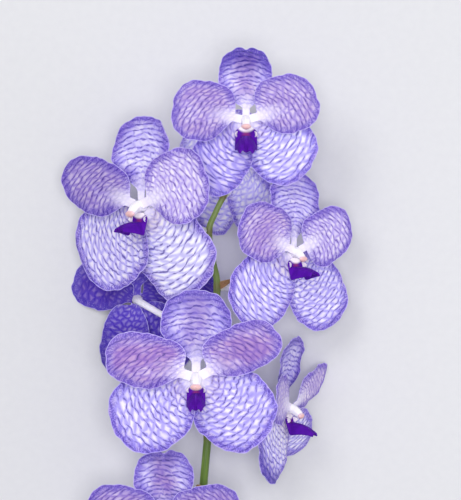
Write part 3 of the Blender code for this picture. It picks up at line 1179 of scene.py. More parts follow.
        piece = Bench.sheet(name, self.CELLS, shape)
        flat = np.array([self.ruffled(u, v) for u, v in grid])
        margin = self.margins(flat)
        reach = np.linalg.norm(flat, axis=1)
        fan = np.arctan2(flat[:, 0], flat[:, 1]) * (self.FAN_RADIUS + reach) / 2
        along = reach + self.slant * flat[:, 0]
        tip = np.clip(flat[:, 1] / self.length / self.TIP_START - 1, 0, 1)
        same = np.ones(len(flat))
        tone = [seed * same, self.mauve * same, self.depth_and_painted_light + self.deep_tip * tip]
        Bench.mark(piece, "vein_place", np.column_stack([fan / self.stretch, along, reach]))
        Bench.mark(piece, "margin", margin)
        Bench.mark(piece, "tone", np.column_stack(tone))
        body = piece.vertex_groups.new(name="body")
        for index, distance in enumerate(margin[:, 0]):
            body.add([index], min(1.0, float(distance) / self.THIN_EDGE_WIDTH), "REPLACE")
        for material in materials:
            piece.data.materials.append(material)
        Bench.modify(
            piece,
            "SOLIDIFY",
            thickness=BLADE_THICKNESS * MM,
            offset=0,
            vertex_group="body",
            thickness_vertex_group=self.THIN_EDGE,
            material_offset=1,
            material_offset_rim=2,
        )
        return piece


@dataclass(frozen=True)
class Lip:
    """A lip: its claw drops under the column, then it runs forward to a forked tip."""

    claw_half_width: float = 2.0
    heel: float = 5.4
    level: float = 0.3
    length: float = 17.0
    droop: float = 6.0
    half_width: float = 5.4
    taper: float = 2.2
    side_lobe: float = 2.8
    side_fall: float = 8.0
    fork: float = 1.0
    tip_swell: float = 2.6

    CELLS = (20, 36)
    LOBE_REACH = 0.12
    FALL_STEEPNESS = 7
    FALL_LOSS = 0.6
    TIP_HALF_WIDTH = 0.5

    def point(self, size: float, u: float, v: float) -> Vector:
        """A place on the lip, in the bloom's frame.

        Args:
            size: the lip's scale.
            u: from side to side, -1 to 1.
            v: from its root to its tip, -1 to 1.

        Returns:
            The place.
        """
        t = (v + 1) / 2
        claw = min(1.0, t / LIP_CLAW_SHARE)
        past = max(0.0, (t - LIP_CLAW_SHARE) / (1 - LIP_CLAW_SHARE))
        widening = (self.half_width - self.claw_half_width) * claw
        half_width = self.claw_half_width + widening - self.taper * past**2
        lobe = self.side_lobe * claw * exp(-((past / self.LOBE_REACH) ** 2))
        fall = self.side_fall * min(1.0, self.FALL_STEEPNESS * past) * (1 - self.FALL_LOSS * past)
        middle = exp(-((u / self.TIP_HALF_WIDTH) ** 2))
        fork = self.fork * past**8 * middle
        drop = self.heel * claw + self.droop * past**2.2 + (fall - lobe) * abs(u) ** 2.4
        drop += self.tip_swell * past**5 * middle
        forward = self.level + self.length * past - fork
        return Vector((u * half_width * size, -CLAW_START - drop * size, forward * size))

    def build(
        self, name: str, bloom: "Bloom", seed: int, material: bpy.types.Material
    ) -> bpy.types.Object:
        """Makes the lip as a closed shell.

        Args:
            name: the piece's name.
            bloom: the bloom that it belongs to.
            seed: shifts its pattern.
            material: its finish.

        Returns:
            The piece.
        """
        grid: list[Pair] = []

        def shape(u: float, v: float) -> Vector:
            """Keeps u and v, and turns u round so that the upper side faces out.

            Args:
                u: from side to side, -1 to 1.
                v: from the lip's root to its tip, -1 to 1.

            Returns:
                The place in metres.
            """
            grid.append((u, v))
            place = bloom.frame() @ self.point(bloom.lip_size, -u, v)
            place.z = max(place.z, bloom.lowest())
            return place * MM

        piece = Bench.sheet(name, self.CELLS, shape)
        Bench.mark(piece, "lip_place", np.array([(u, (v + 1) / 2, seed) for u, v in grid]))
        Bench.thicken(piece, material, LIP_THICKNESS)
        return piece


@dataclass(frozen=True)
class SideLobe:
    """One of the two small pale ears that stand beside the column at a lip's base."""

    start: float = 5.2
    end: float = 8.8
    place: float = 4.5
    height: float = 3.0
    splay: float = 0.9
    thickness: float = 0.3
    root_height: float = 0.4

    CELLS = (14, 12)
    ALL_LOBE = (0.5, -1.0)
    ROUNDNESS = 2.6
    NARROWING = 0.25
    BOW = 0.5

    def build(
        self, name: str, bloom: "Bloom", side: Side, material: bpy.types.Material
    ) -> bpy.types.Object:
        """Makes the ear as a closed shell.

        Args:
            name: the piece's name.
            bloom: the bloom that it belongs to.
            side: the side of the bloom that it stands on.
            material: its finish.

        Returns:
            The piece.
        """

        def shape(u: float, v: float) -> Vector:
            """Bends a sheet into the ear.

            Args:
                u: down beside the lip, -1 to 1.
                v: from the ear's root to its rim, -1 to 1.

            Returns:
                The place in metres.
            """
            share = (v + 1) / 2
            rim = self.height * (1 - abs(u) ** self.ROUNDNESS) ** 0.5
            middle = (self.start + self.end) / 2
            down = middle + u * (self.end - self.start) / 2 * (1 - self.NARROWING * share)
            out = side.value * (self.place + self.splay * share**2 - self.BOW * u**2)
            place = Vector((out, -down, self.root_height + share * rim)) * bloom.lip_size
            return (bloom.frame() @ place) * MM

        piece = Bench.sheet(name, self.CELLS, shape)
        marks = [(*self.ALL_LOBE, side.value)] * len(piece.data.vertices)
        Bench.mark(piece, "lip_place", np.array(marks))
        Bench.thicken(piece, material, self.thickness)
        return piece


@dataclass(frozen=True)
class Tube:
    """A closed tube that follows a path of places, in metres, with its own radius at each."""

    name: str
    places: list[Vector]
    radii: list[float]
    sides: int = 20
    ribs: int = 0
    rib_height: float = 0.0

    RIB_TURN = 0.05

    def directions(self) -> list[tuple[Vector, Vector]]:
        """Carries two directions across the tube along its path, without a twist.

        Returns:
            The two directions at each place.
        """
        count = len(self.places)
        made = []
        across = None
        for i in range(count):
            way = (self.places[min(i + 1, count - 1)] - self.places[max(i - 1, 0)]).normalized()
            if across is None:
                across = way.orthogonal()
            across = (across - way * across.dot(way)).normalized()
            made.append((across, way.cross(across)))
        return made

    def build(self) -> tuple[bpy.types.Object, np.ndarray]:
        """Makes the tube: a cylinder primitive, cut up and laid on the path.

        The cut runs both ways. It makes the tube's rings, and it divides each side of the cylinder
        across as often as along, so the ribs are smooth and the mesh is heavy.

        Returns:
            The piece, and for each point its turn (0 to 1), its run along the path in millimetres and
            the number of its ring.
        """
        Bench.deselect()
        rings = len(self.places) - 1
        bpy.ops.mesh.primitive_cylinder_add(vertices=self.sides, radius=1, depth=2)
        piece = Bench.take(self.name)
        bpy.ops.object.mode_set(mode="EDIT")
        bpy.ops.mesh.select_all(action="SELECT")
        bpy.ops.mesh.subdivide(number_cuts=rings - 1)
        bpy.ops.object.mode_set(mode="OBJECT")
        across = self.directions()
        steps = [(b - a).length / MM for a, b in zip(self.places, self.places[1:])]
        runs = np.concatenate([[0.0], np.cumsum(steps)])
        marks = []
        for vertex in piece.data.vertices:
            ring = round((vertex.co.z + 1) / 2 * rings)
            turn = atan2(vertex.co.y, vertex.co.x)
            rib = cos(self.ribs * turn + self.RIB_TURN * runs[ring])
            radius = self.radii[ring] * (1 + self.rib_height * rib)
            first, second = across[ring]
            vertex.co = self.places[ring] + (first * cos(turn) + second * sin(turn)) * radius
            marks.append((turn / (2 * pi) + 0.5, runs[ring], ring))
        return piece, np.array(marks)


@dataclass(frozen=True)
class Bloom:
    """One bloom: five tepals, a lip, and a stalk that ends in the column and its pollen cap."""

    name: str
    middle: Place
    yaw: float
    size: float
    lip_size: float
    tepals: dict[str, Tepal]
    stem_place: int
    stalk_out: Place
    stalk_back: float
    rests: bool = False
    lip_droop: float = 6.0

    COLUMN = [
        ((0, 0, -2.5), RECEPTACLE_RADIUS),
        ((0, 0, 1.5), RECEPTACLE_RADIUS),
        ((0, -1.2, 4.5), 2.9),
        ((0, -3.2, 7.0), 2.6),
        ((0, -4.6, 8.6), 1.9),
        ((0, -5.2, 9.4), 0.8),
    ]
    STALK_RINGS = 26
    COLUMN_STEPS = 5
    CAP_PLACE = (0, -4.7, 8.9)
    CAP_RADII = (3.3, 2.0, 1.9)
    CAP_LEAN = 34
    CAP_SEAM = 0.12
    CAP_SEAM_HALF_WIDTH = 0.12
    CAP_BEAK = 0.22
    CAP_BEAK_HALF_WIDTH = 0.35
    START_SHARE = 0.4

    def frame(self) -> Matrix:
        """From the bloom's own frame, in millimetres, to the spray's."""
        turn = Matrix.Rotation(radians(self.yaw), 4, "Y")
        return Matrix.Translation(self.middle) @ turn @ Matrix.Scale(self.size, 4)

    def lowest(self) -> float:
        """The least height of a sheet's middle: above the surface where the bloom rests on it."""
        return LOWEST_BLADE if self.rests else float("-inf")

    def build_stalk(self, stem: StemPath, material: bpy.types.Material) -> None:
        """Makes the stalk, ovary, receptacle and column as one tapering tube.

        Args:
            stem: the stem's places and radii.
            material: its finish.
        """
        bloom_frame = self.frame()
        face = (bloom_frame.to_3x3() @ Vector((0, 0, 1))).normalized()
        place, radius = stem[self.stem_place]
        stem_middle = Vector(place)
        outward = Vector(self.stalk_out)
        start = stem_middle + outward.normalized() * radius * self.START_SHARE
        back = bloom_frame @ Vector((0, 0, -OVARY_DEPTH))
        bends = [start, stem_middle + outward, back - face * self.stalk_back, back]
        points = interpolate_bezier(*bends, self.STALK_RINGS)
        shares = [ring / (self.STALK_RINGS - 1) for ring in range(self.STALK_RINGS)]
        radii = [STALK_RADIUS + (OVARY_RADIUS - STALK_RADIUS) * share**2 for share in shares]
        column = [bloom_frame @ Vector(place) for place, radius in self.COLUMN]
        swell = [radius * self.size for place, radius in self.COLUMN]
        more, widths = smooth_path(column, swell, self.COLUMN_STEPS)
        points += more
        radii += widths
        tube = Tube(
            name=f"{self.name}_stalk",
            places=[point * MM for point in points],
            radii=[radius * MM for radius in radii],
            sides=24,
            ribs=6,
            rib_height=0.04,
        )
        piece, marks = tube.build()
        marks[:, 2] = np.clip((marks[:, 2] - self.STALK_RINGS) / (len(more) - 1), 0, 1)
        Bench.mark(piece, "tube_place", marks)
        piece.data.materials.append(material)
        Bench.hand_in(piece, Slot.COLUMN, f"{self.name}_stalk_and_column")

    def build_cap(self, material: bpy.types.Material) -> None:
        """Makes the pollen cap: a rounded hood with a seam and a small beak.

        Args:
            material: its finish.
        """
        Bench.deselect()
        bpy.ops.mesh.primitive_uv_sphere_add(segments=28, ring_count=18, radius=1)
        piece = Bench.take(f"{self.name}_pollen_cap")
        tilt = Matrix.Rotation(radians(self.CAP_LEAN), 3, "X")
        marks = []
        for vertex in piece.data.vertices:
            x, y, z = vertex.co
            marks.append((x, y, z))
            seam = 1 - self.CAP_SEAM * exp(-((x / self.CAP_SEAM_HALF_WIDTH) ** 2)) * max(0.0, z)
            beak = 1 + self.CAP_BEAK * exp(-((x / self.CAP_BEAK_HALF_WIDTH) ** 2)) * max(0.0, -y) ** 3
            local = Vector((x * seam, y * beak, z * seam)) * Vector(self.CAP_RADII)
            place = Vector(self.CAP_PLACE) + tilt @ local
            vertex.co = (self.frame() @ place) * MM
        Bench.mark(piece, "cap_place", np.array(marks))
        piece.data.materials.append(material)
        Bench.hand_in(piece, Slot.COLUMN)

    def build(self, stem: StemPath, wardrobe: Wardrobe, seed: int) -> None:
        """Makes every piece of the bloom.

        Args:
            stem: the stem's places and radii.
            wardrobe: the materials.
            seed: the bloom's number, from which each blade gets its own.
        """
        for index, (part, tepal) in enumerate(self.tepals.items()):
            name = f"{self.name}_{part}"
            materials = [wardrobe.front(tepal.kind), wardrobe.back, wardrobe.rim]
            blade_seed = seed * len(self.tepals) + index
            piece = tepal.build(f"{name}_blade", self.frame(), self.lowest(), blade_seed, materials)
            Bench.hand_in(piece, tepal.kind.slot(), name)
        lip = Lip(droop=self.lip_droop).build(f"{self.name}_lip_blade", self, seed, wardrobe.lip)
        Bench.hand_in(lip, Slot.LIP, f"{self.name}_lip")
        for side in Side:
            name = f"{self.name}_lip_lobe_{side.name.lower()}"
            lobe = SideLobe().build(name, self, side, wardrobe.lip)
            Bench.hand_in(lobe, Slot.LIP)
        self.build_stalk(stem, wardrobe.stalk)
        self.build_cap(wardrobe.cap)
        LOG.info("%s is whole", self.name)


def smooth_path(
    places: list[Vector], radii: list[float], steps: int
) -> tuple[list[Vector], list[float]]:
    """Points and radii along a curve that passes through every place.

    Args:
        places: the places.
        radii: the radius at each.
        steps: how many points each span gets.

    Returns:
        The points, and a radius for each.
    """
    points = []
    widths = []
    for i in range(len(places) - 1):
        before = places[max(i - 1, 0)]
        after = places[min(i + 2, len(places) - 1)]
        first_bend = places[i] + (places[i + 1] - before) / 6
        last_bend = places[i + 1] - (after - places[i]) / 6
        span = interpolate_bezier(places[i], first_bend, last_bend, places[i + 1], steps + 1)
        points += span[:-1]
        widths += [radii[i] + (radii[i + 1] - radii[i]) * step / steps for step in range(steps)]
    return points + [places[-1]], widths + [radii[-1]]


@dataclass(frozen=True)
class Bract:
    """A papery scale that grows out of the stem: its stem place, direction and length."""

    stem_place: int
    direction: Place
    length: float

    HALF_WIDTH = 2.3
    CUP = 0.75
    RAGGED = 0.04
    RAGGED_WAVES = 17
    NARROWING = 0.85
    TIP_REACH = 0.05
    TIP_CURL = 0.5
    THICKNESS = 0.3
    CELLS = (12, 16)

    def build(self, stem: StemPath, number: int, material: bpy.types.Material) -> None:
        """Makes the scale: a pointed, cupped sheet with a ragged edge.

        Args:
            stem: the stem's places and radii.
            number: its number along the stem.
            material: its finish.
        """
        root = Vector(stem[self.stem_place][0])
        turn = Vector(self.direction).to_track_quat("Z", "Y").to_matrix()
        grid: list[Pair] = []

        def shape(u: float, v: float) -> Vector:
            """Keeps u and v.

            Args:
                u: from side to side, -1 to 1.
                v: from the scale's root to its tip, -1 to 1.

            Returns:
                The place in metres.
            """
            grid.append((u, v))
            t = (v + 1) / 2
            ragged = 1 + self.RAGGED * sin(self.RAGGED_WAVES * v + number)
            half = self.HALF_WIDTH * (1 - self.NARROWING * t**2.2) * ragged
            along = self.length * (t + self.TIP_REACH * (1 - abs(u)) * t**3)
            bulge = self.CUP * (1 - u**2) * (0.6 + 0.8 * t * (1 - t)) + self.TIP_CURL * t**2
            return (root + turn @ Vector((u * half, bulge, along))) * MM

        piece = Bench.sheet(f"bract_{number}", self.CELLS, shape)
        Bench.mark(piece, "bract_place", np.array([(u, (v + 1) / 2, number) for u, v in grid]))
        Bench.thicken(piece, material, self.THICKNESS)
        Bench.hand_in(piece, Slot.STEM)


@dataclass(frozen=True)
class Scape:
    """The zig-zag flower stem, in three lengths that meet at nodes, and its bracts."""

    stem: StemPath
    bracts: list[Bract]
    lengths: tuple[tuple[str, int, int], ...] = (
        ("stem_lower", 0, 4),
        ("stem_middle", 4, 8),
        ("stem_upper", 8, 13),
    )
    steps: int = 14
    swelling: float = 0.16
    swelling_reach: float = 2.6

    SHARPEST_EDGE = 60.0
    SKIN = 0.35
    CUT_EDGE = 0.5
    CUT_HOLLOW = 0.25

    def build(self) -> None:
        """Makes every piece of the stem."""
        finishes = [StemFinish().material(), CutFinish().material()]
        places = [Vector(place) for place, radius in self.stem]
        points, radii = smooth_path(places, [radius for place, radius in self.stem], self.steps)
        nodes = [places[bract.stem_place] for bract in self.bracts]
        near = [min((point - node).length for node in nodes) for point in points]
        swells = [exp(-((distance / self.swelling_reach) ** 2)) for distance in near]
        widths = [radius * (1 + self.swelling * swell) for radius, swell in zip(radii, swells)]
        run = 0.0
        for name, first, last in self.lengths:
            span = slice(first * self.steps, last * self.steps + 1)
            run += self.build_length(name, points[span], widths[span], swells[span], run, finishes)
        paper = BractFinish().material()
        for number, bract in enumerate(self.bracts):
            bract.build(self.stem, number, paper)
        LOG.info("the stem is whole, with %d bracts", len(self.bracts))

    def build_length(
        self,
        name: str,
        points: list[Vector],
        widths: list[float],
        swells: list[float],
        run: float,
        finishes: list[bpy.types.Material],
    ) -> float:
        """Makes one length of the stem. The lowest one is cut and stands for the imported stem.

        Args:
            name: the piece's name.
            points: its middle line.
            widths: its radius at each point.
            swells: how near each point is to a node, 0 to 1.
            run: how far along the stem it starts.
            finishes: the green skin and the cut face.

        Returns:
            How long it is.
        """
        tube = Tube(
            name=name,
            places=[point * MM for point in points],
            radii=[width * MM for width in widths],
            sides=24,
            ribs=7,
            rib_height=0.025,
        )
        piece, marks = tube.build()
        rows = marks[:, 2].astype(int)
        length = float(marks[:, 1].max())
        marks[:, 1] += run
        marks[:, 2] = np.array(swells)[rows]
        Bench.mark(piece, "tube_place", marks)
        for finish in finishes:
            piece.data.materials.append(finish)
        node = ""
        if run == 0:
            node = "stem"
            self.cut_end(piece)
        Bench.hand_in(piece, Slot.STEM, node, self.SHARPEST_EDGE)
        return length

    def cut_end(self, piece: bpy.types.Object) -> None:
        """Gives the stem's lower end a cut face that is a little hollow inside its skin.

        Args:
            piece: the lowest length of the stem.
        """
        Bench.pick(piece)
        ends = [face for face in piece.data.polygons if len(face.vertices) > 4]
        lowest = min(ends, key=lambda face: face.center.y).index
        bpy.ops.object.mode_set(mode="EDIT")
        bpy.ops.mesh.select_all(action="DESELECT")
        bpy.ops.mesh.select_mode(type="FACE")
        bpy.ops.object.mode_set(mode="OBJECT")
        piece.data.polygons[lowest].select = True
        bpy.ops.object.mode_set(mode="EDIT")
        bpy.ops.mesh.inset(thickness=self.SKIN * MM, depth=0.0)
        piece.active_material_index = 1
        bpy.ops.object.material_slot_assign()
        bpy.ops.mesh.inset(thickness=self.CUT_EDGE * MM, depth=-self.CUT_HOLLOW * MM)
        bpy.ops.mesh.select_mode(type="VERT")
        bpy.ops.object.mode_set(mode="OBJECT")


@dataclass(frozen=True)
class Softbox:
    """One square soft light."""

    name: str
    place: Place
    side: float
    watts: float

    def build(self, aim: Vector) -> None:
        """Makes the light and turns it to what it lights.

        Args:
            aim: the middle of the spray, in metres.
        """
        data = bpy.data.lights.new(self.name, "AREA")
        data.size = self.side
        data.energy = self.watts
        light = bpy.data.objects.new(self.name, data)
        light.location = self.place
        light.rotation_euler = (aim - light.location).to_track_quat("-Z", "Y").to_euler()
        light.visible_camera = False
        bpy.context.scene.collection.objects.link(light)


@dataclass(frozen=True)
class Studio:
    """The pale floor, the soft lights and the camera that looks straight down on the spray."""

    camera_place: Place = (0.015, 0.076, 1.3)
    focal_pixels: float = 2103.4
    frame_height: int = 500
    sensor: float = 36.0
    floor_side: float = 8.0
    floor_level: float = -0.0004
    floor_shades: tuple[Colour, Colour] = (paint(214, 214, 217), paint(220, 220, 222))
    fibres_to_a_metre: float = 220.0
    room_light: Colour = (0.94, 0.95, 1.0)
    ambient: float = 0.48
    aim: Place = (0.0, 0.04, 0.05)
    boxes: tuple[Softbox, ...] = (
        Softbox("key", (-0.4, 0.55, 1.35), 0.5, 5.5),
        Softbox("overhead", (0.06, 0.05, 1.5), 0.4, 9.0),
        Softbox("back", (0.1, 1.4, 0.7), 0.7, 2.0),
        Softbox("side", (0.9, -0.1, 0.42), 0.5, 1.7),
    )

    def build(self) -> None:
        """Makes the floor, the lights, the room's light and the camera."""
        self.build_floor()
        for box in self.boxes:
            box.build(Vector(self.aim))
        self.build_room()
        self.build_camera()
        LOG.info("studio: floor, %d soft lights and camera", len(self.boxes))

    def build_floor(self) -> None:
        """Makes the pale floor, just under the spray."""
        Bench.deselect()
        bpy.ops.mesh.primitive_plane_add(size=self.floor_side)
        floor = Bench.take("floor")
        for vertex in floor.data.vertices:
            vertex.co.z = self.floor_level
        sheet = NodeSheet("floor_paper")
        fibre = sheet.noise(sheet.object_place(), self.fibres_to_a_metre, 3.0)[0]
        colour = sheet.mix(fibre, *self.floor_shades)
        floor.data.materials.append(sheet.dress(Base_Color=colour, Roughness=0.85))

    def build_room(self) -> None:
        """Fills the room with a soft even light."""
        world = bpy.data.worlds.new("soft_room")
        world.use_nodes = True
        background = world.node_tree.nodes["Background"]
        background.inputs["Color"].default_value = (*self.room_light, 1.0)
        background.inputs["Strength"].default_value = self.ambient
        bpy.context.scene.world = world
        bpy.context.scene.view_settings.view_transform = "Standard"

    def build_camera(self) -> None:
        """Hangs the camera above the spray, looking straight down."""
        data = bpy.data.cameras.new("camera")
        data.sensor_width = self.sensor
        data.lens = self.sensor * self.focal_pixels / self.frame_height
        camera = bpy.data.objects.new("camera", data)
        camera.location = self.camera_place
        bpy.context.scene.collection.objects.link(camera)
        bpy.context.scene.camera = camera


DORSAL = Tepal(
    kind=Kind.DORSAL,
    angle=90,
    length=51,
    half_width=(20.5, 20.5),
    widest=(0.62, 0.62),
    shoulder=(2.0, 2.0),
    lean=-2,
    curl=-2,
    trough=1.5,
    mauve=0.35,
    depth_and_painted_light=0.1,
    deep_tip=0.15,
)
PETAL_RIGHT = Tepal(
    kind=Kind.PETAL,
    angle=18,
    length=54,
    half_width=(16, 18),
    widest=(0.68, 0.42),
    shoulder=(1.7, 0.5),
    power=2.5,
    claw_half_width=2.8,
    ear=1.5,
    level=PETAL_LEVEL,
    lean=2,
    curl=-1,
    trough=-1,
    slant=-0.4,
    mauve=0.7,
)
PETAL_LEFT = replace(
    PETAL_RIGHT,
    angle=162,
    half_width=(18, 16),
    widest=(0.42, 0.68),
    shoulder=(0.5, 1.7),
    slant=0.4,
)
LATERAL_RIGHT = Tepal(
    kind=Kind.LATERAL,
    angle=321,
    length=60,
    half_width=(22, 25),
    widest=(0.58, 0.6),
    shoulder=(1.0, 0.5),
    power=2.3,
    claw_length=1.5,
    claw_half_width=3.4,
    lean=-7,
    curl=5,
    trough=-1.5,
    twist=3,
    mauve=0.15,
)
LATERAL_LEFT = replace(
    LATERAL_RIGHT,
    angle=219,
    half_width=(25, 22),
    widest=(0.6, 0.58),
    shoulder=(0.5, 1.0),
)

# What a blade that rests on the surface has in place of the common shape
RESTING_PETAL = dict(level=0.2, trough=0, wave=0.4, claw_length=1.5, claw_half_width=3.8)
RESTING_LATERAL = dict(level=-2.2, lean=0, curl=24, wave=0.4)
RESTING_BACK_LATERAL = dict(level=-5.2, lean=0, curl=24, wave=0.4)

TEPALS = {
    "dorsal_sepal": DORSAL,
    "petal_left": PETAL_LEFT,
    "petal_right": PETAL_RIGHT,
    "lateral_sepal_left": LATERAL_LEFT,
    "lateral_sepal_right": LATERAL_RIGHT,
}


def tepals(**changes: dict[str, Any]) -> dict[str, Tepal]:
    """The five tepals of a bloom: the common shapes, with this bloom's own changes.

    Args:
        changes: each tepal's changes, by its name.

    Returns:
        Each tepal by its name.
    """
    return {part: replace(common, **changes[part]) for part, common in TEPALS.items()}


# The eight blooms: four in front, two turned away, one at the side and the one at the bottom
BLOOMS: list[Bloom] = [
    Bloom(
        name="top_bloom",
        middle=(24, 151, 84),
        yaw=0,
        size=0.84,
        lip_size=1.4,
        tepals=tepals(
            dorsal_sepal=dict(
                half_width=(18, 19), shoulder=(1.2, 1.2), level=-1.2, notch=2, mauve=0.78, depth_and_painted_light=-0.2,
                deep_tip=1.3,
            ),
            petal_left=dict(angle=168, length=51.5, half_width=(21, 21), widest=(0.58, 0.65), depth_and_painted_light=0.27),
            petal_right=dict(
                angle=17, length=51.5, half_width=(18, 23), widest=(0.62, 0.52), mauve=0.6, depth_and_painted_light=0.27,
            ),
            lateral_sepal_left=dict(
                angle=237.5, length=58, half_width=(21, 20), mauve=0.3, depth_and_painted_light=0.1, stretch=1.5,
            ),
            lateral_sepal_right=dict(
                angle=318, length=55, half_width=(22, 26), level=-2.8, mauve=0, stretch=1.4,
            ),
        ),
        stem_place=13,
        stalk_out=(6, 10, 6),
        stalk_back=18,
    ),
    Bloom(
        name="left_bloom",
        middle=(-37.9, 101.7, 70),
        yaw=-38,
        size=1.0,
        lip_size=1.1,
        tepals=tepals(
            dorsal_sepal=dict(angle=93.5, length=53, half_width=(22, 21), mauve=0, depth_and_painted_light=0),
            petal_left=dict(
                angle=160, length=62, half_width=(17, 17), widest=(0.55, 0.62), power=2.1, mauve=0.5,
                depth_and_painted_light=0.42,
            ),
            petal_right=dict(angle=20, length=55, half_width=(22, 22), widest=(0.62, 0.5), mauve=0.15),
            lateral_sepal_left=dict(
                angle=218, length=61, half_width=(30, 29), widest=(0.62, 0.5), shoulder=(0.5, 0.6),
                lean=-9, curl=6, depth_and_painted_light=-0.45,
            ),
            lateral_sepal_right=dict(
                angle=308, length=60, half_width=(29, 24), power=2.6, level=-2.6, lean=-9, curl=0,
                mauve=0, depth_and_painted_light=-1.0, stretch=1.5,
            ),
        ),
        stem_place=10,
        stalk_out=(-14, 4, 0),
        stalk_back=16,
        lip_droop=2.0,
    ),
    Bloom(
        name="right_bloom",
        middle=(52.9, 74.8, 62),
        yaw=38,
        size=0.86,
        lip_size=1.25,
        tepals=tepals(
            dorsal_sepal=dict(angle=87, length=56, half_width=(22, 22), mauve=0.1, depth_and_painted_light=0.12),
            petal_left=dict(angle=157, length=54, half_width=(22, 19), widest=(0.45, 0.6), depth_and_painted_light=0.08),
            petal_right=dict(
                angle=26, length=52.5, half_width=(21, 17), widest=(0.5, 0.5), shoulder=(0.6, 0.5),
                mauve=0.15, depth_and_painted_light=0.22,
            ),
            lateral_sepal_left=dict(angle=227, length=64, half_width=(26, 24), depth_and_painted_light=-0.1, stretch=1.4),
            lateral_sepal_right=dict(angle=313, length=65, half_width=(25, 23), level=-2.6, depth_and_painted_light=-0.1),
        ),
        stem_place=8,
        stalk_out=(14, -5, -7),
        stalk_back=16,
        lip_droop=1.5,
    ),
    Bloom(
        name="middle_bloom",
        middle=(-4.9, 2.1, 85),
        yaw=0,
        size=1.0,
        lip_size=1.0,
        tepals=tepals(
            dorsal_sepal=dict(lean=0, curl=0, mauve=0.6, depth_and_painted_light=0.25),
            petal_left=dict(angle=161, half_width=(16, 16.5), mauve=1.1, depth_and_painted_light=0.06, slant=0.6),
            petal_right=dict(angle=28, half_width=(12, 17), power=2.8, mauve=1.05, depth_and_painted_light=0.14, slant=-0.6),
            lateral_sepal_left=dict(angle=219, length=57, half_width=(26, 22), power=2.1),
            lateral_sepal_right=dict(angle=315, length=53, half_width=(21, 26), widest=(0.5, 0.56)),
        ),
        stem_place=6,
        stalk_out=(-5, 1, 12),
        stalk_back=18,
    ),
    Bloom(
        name="upper_back_bloom",
        middle=(18.3, 127.3, 18),
        yaw=180,
        size=0.85,
        lip_size=0.85,
        tepals=tepals(
            # Depths below zero pale this bloom, which lies under others, as painted light
            dorsal_sepal=dict(
                length=41, half_width=(17, 17), lean=-2, curl=9, mauve=0, depth_and_painted_light=-0.8, deep_tip=0,
            ),
            petal_left=dict(
                angle=152, length=44, shoulder=(1.0, 1.7), lean=39, curl=-13, mauve=0, depth_and_painted_light=-0.8,
                **RESTING_PETAL,
            ),
            petal_right=dict(
                angle=28, length=44, shoulder=(1.7, 1.0), lean=39, curl=-13, mauve=0, depth_and_painted_light=-0.8,
                **RESTING_PETAL,
            ),
            lateral_sepal_left=dict(
                angle=251, length=56, half_width=(20, 15), mauve=0, depth_and_painted_light=-0.8, **RESTING_BACK_LATERAL,
            ),
            lateral_sepal_right=dict(
                angle=291, length=52, half_width=(13, 19), mauve=0, depth_and_painted_light=-0.8, **RESTING_LATERAL,
            ),
        ),
        stem_place=12,
        stalk_out=(5, 1, -11),
        stalk_back=12,
        rests=True,
    ),
    Bloom(
        name="left_back_bloom",
        middle=(-41.7, 45.7, 19),
        yaw=180,
        size=0.9,
        lip_size=0.9,
        tepals=tepals(
            # Depths near 1 darken this turned-away bloom partly as painted shade
            dorsal_sepal=dict(lean=-2, curl=10, depth_and_painted_light=1.0),
            petal_left=dict(angle=170, lean=32, curl=-11.5, depth_and_painted_light=1.0, **RESTING_PETAL),
            petal_right=dict(
                angle=20, length=47, half_width=(17, 17), lean=36, curl=-12, depth_and_painted_light=1.0, **RESTING_PETAL,
            ),
            lateral_sepal_left=dict(
                angle=240, length=55, half_width=(19, 15), depth_and_painted_light=0.9, **RESTING_LATERAL,
            ),
            lateral_sepal_right=dict(
                angle=284, length=55, half_width=(14, 18), shoulder=(0.9, 0.3), depth_and_painted_light=0.9,
                **RESTING_BACK_LATERAL,
            ),
        ),
        stem_place=7,
        stalk_out=(-14, 6, 0),
        stalk_back=14,
        rests=True,
    ),
    Bloom(
        name="side_bloom",
        middle=(50, -19, 38),
        yaw=65,
        size=0.9,
        lip_size=1.1,
        tepals=tepals(
            dorsal_sepal=dict(length=48, half_width=(18, 18), lean=-8, curl=14, mauve=0, depth_and_painted_light=0.2),
            petal_left=dict(angle=166, length=46, lean=12, mauve=0.3, depth_and_painted_light=0.15),
            petal_right=dict(
                angle=25, length=55, half_width=(14, 15), lean=6, twist=20, mauve=0.45, depth_and_painted_light=0,
            ),
            # A depth below zero pales this blade, which faces away from the light, as painted light
            lateral_sepal_left=dict(
                angle=233, length=55, half_width=(20, 20), lean=1, curl=-2, depth_and_painted_light=-0.9, deep_tip=1.7,
            ),
            lateral_sepal_right=dict(
                angle=316, length=51, half_width=(15, 16), claw_length=4.0, claw_half_width=2.5,
                lean=-8, curl=-2, twist=34, mauve=0, depth_and_painted_light=-0.25,
            ),
        ),
        stem_place=5,
        stalk_out=(14, 2, 0),
        stalk_back=16,
        rests=True,
        lip_droop=4.5,
    ),
    Bloom(
        name="bottom_bloom",
        middle=(-24, -84.5, 72),
        yaw=0,
        size=0.86,
        lip_size=1.0,
        tepals=tepals(
            dorsal_sepal=dict(notch=3, mauve=0.9, depth_and_painted_light=0.25),
            petal_left=dict(depth_and_painted_light=0.42),
            petal_right=dict(depth_and_painted_light=0.42),
            lateral_sepal_left=dict(angle=222, length=57, half_width=(24, 20)),
            lateral_sepal_right=dict(angle=316, length=57, half_width=(21, 24)),
        ),
        stem_place=4,
        stalk_out=(-10, 0, 4),
        stalk_back=16,
    ),
]

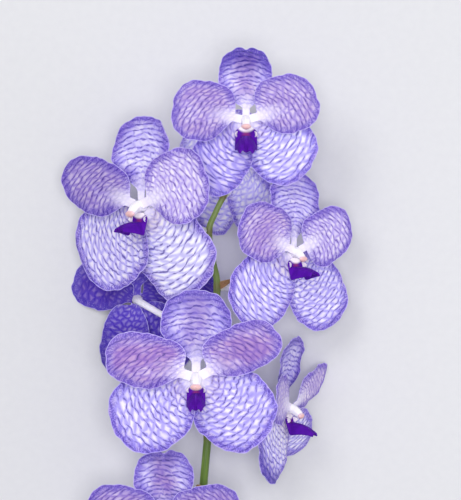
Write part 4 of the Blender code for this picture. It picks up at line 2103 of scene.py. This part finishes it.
# The middle line and radius of the stem, from its cut end up
STEM: StemPath = [
    ((0, -195, 2.8), 2.7),
    ((-2, -160, 8), 2.6),
    ((-3, -125, 24), 2.5),
    ((-2, -95, 40), 2.4),
    ((-1.3, -67, 49), 2.4),
    ((1.5, -34, 50), 2.3),
    ((2.8, -12, 50), 2.2),
    ((4.5, 22, 50), 2.1),
    ((7, 54, 50), 2.0),
    ((4.6, 69, 50), 1.9),
    ((2.2, 87, 51), 1.8),
    ((6, 98, 52), 1.7),
    ((11, 108, 52), 1.6),
    ((17, 120, 55), 1.4),
]

# Each bract's place on the stem, where it points and its length
BRACTS: list[Bract] = [
    Bract(2, (-3, 7, 4), 8),
    Bract(4, (-4, 4, 4), 7),
    Bract(5, (4, 3, -4), 7),
    Bract(6, (-5, 5, 0), 7),
    Bract(7, (4, 4, 2), 7),
    Bract(8, (6, 3, 2), 10.5),
    Bract(10, (-4, 1, -4), 7),
    Bract(12, (-5, 3, 1), 6),
]


def main() -> None:
    """Dresses the spray and sets up the studio."""
    logging.basicConfig(level=logging.INFO, format="%(message)s")
    LOG.info("dressing %d packed solids", len(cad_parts))
    Studio().build()
    Scape(STEM, BRACTS).build()
    wardrobe = Wardrobe()
    for seed, bloom in enumerate(BLOOMS):
        bloom.build(STEM, wardrobe, seed)


if __name__ == "__main__":
    main()
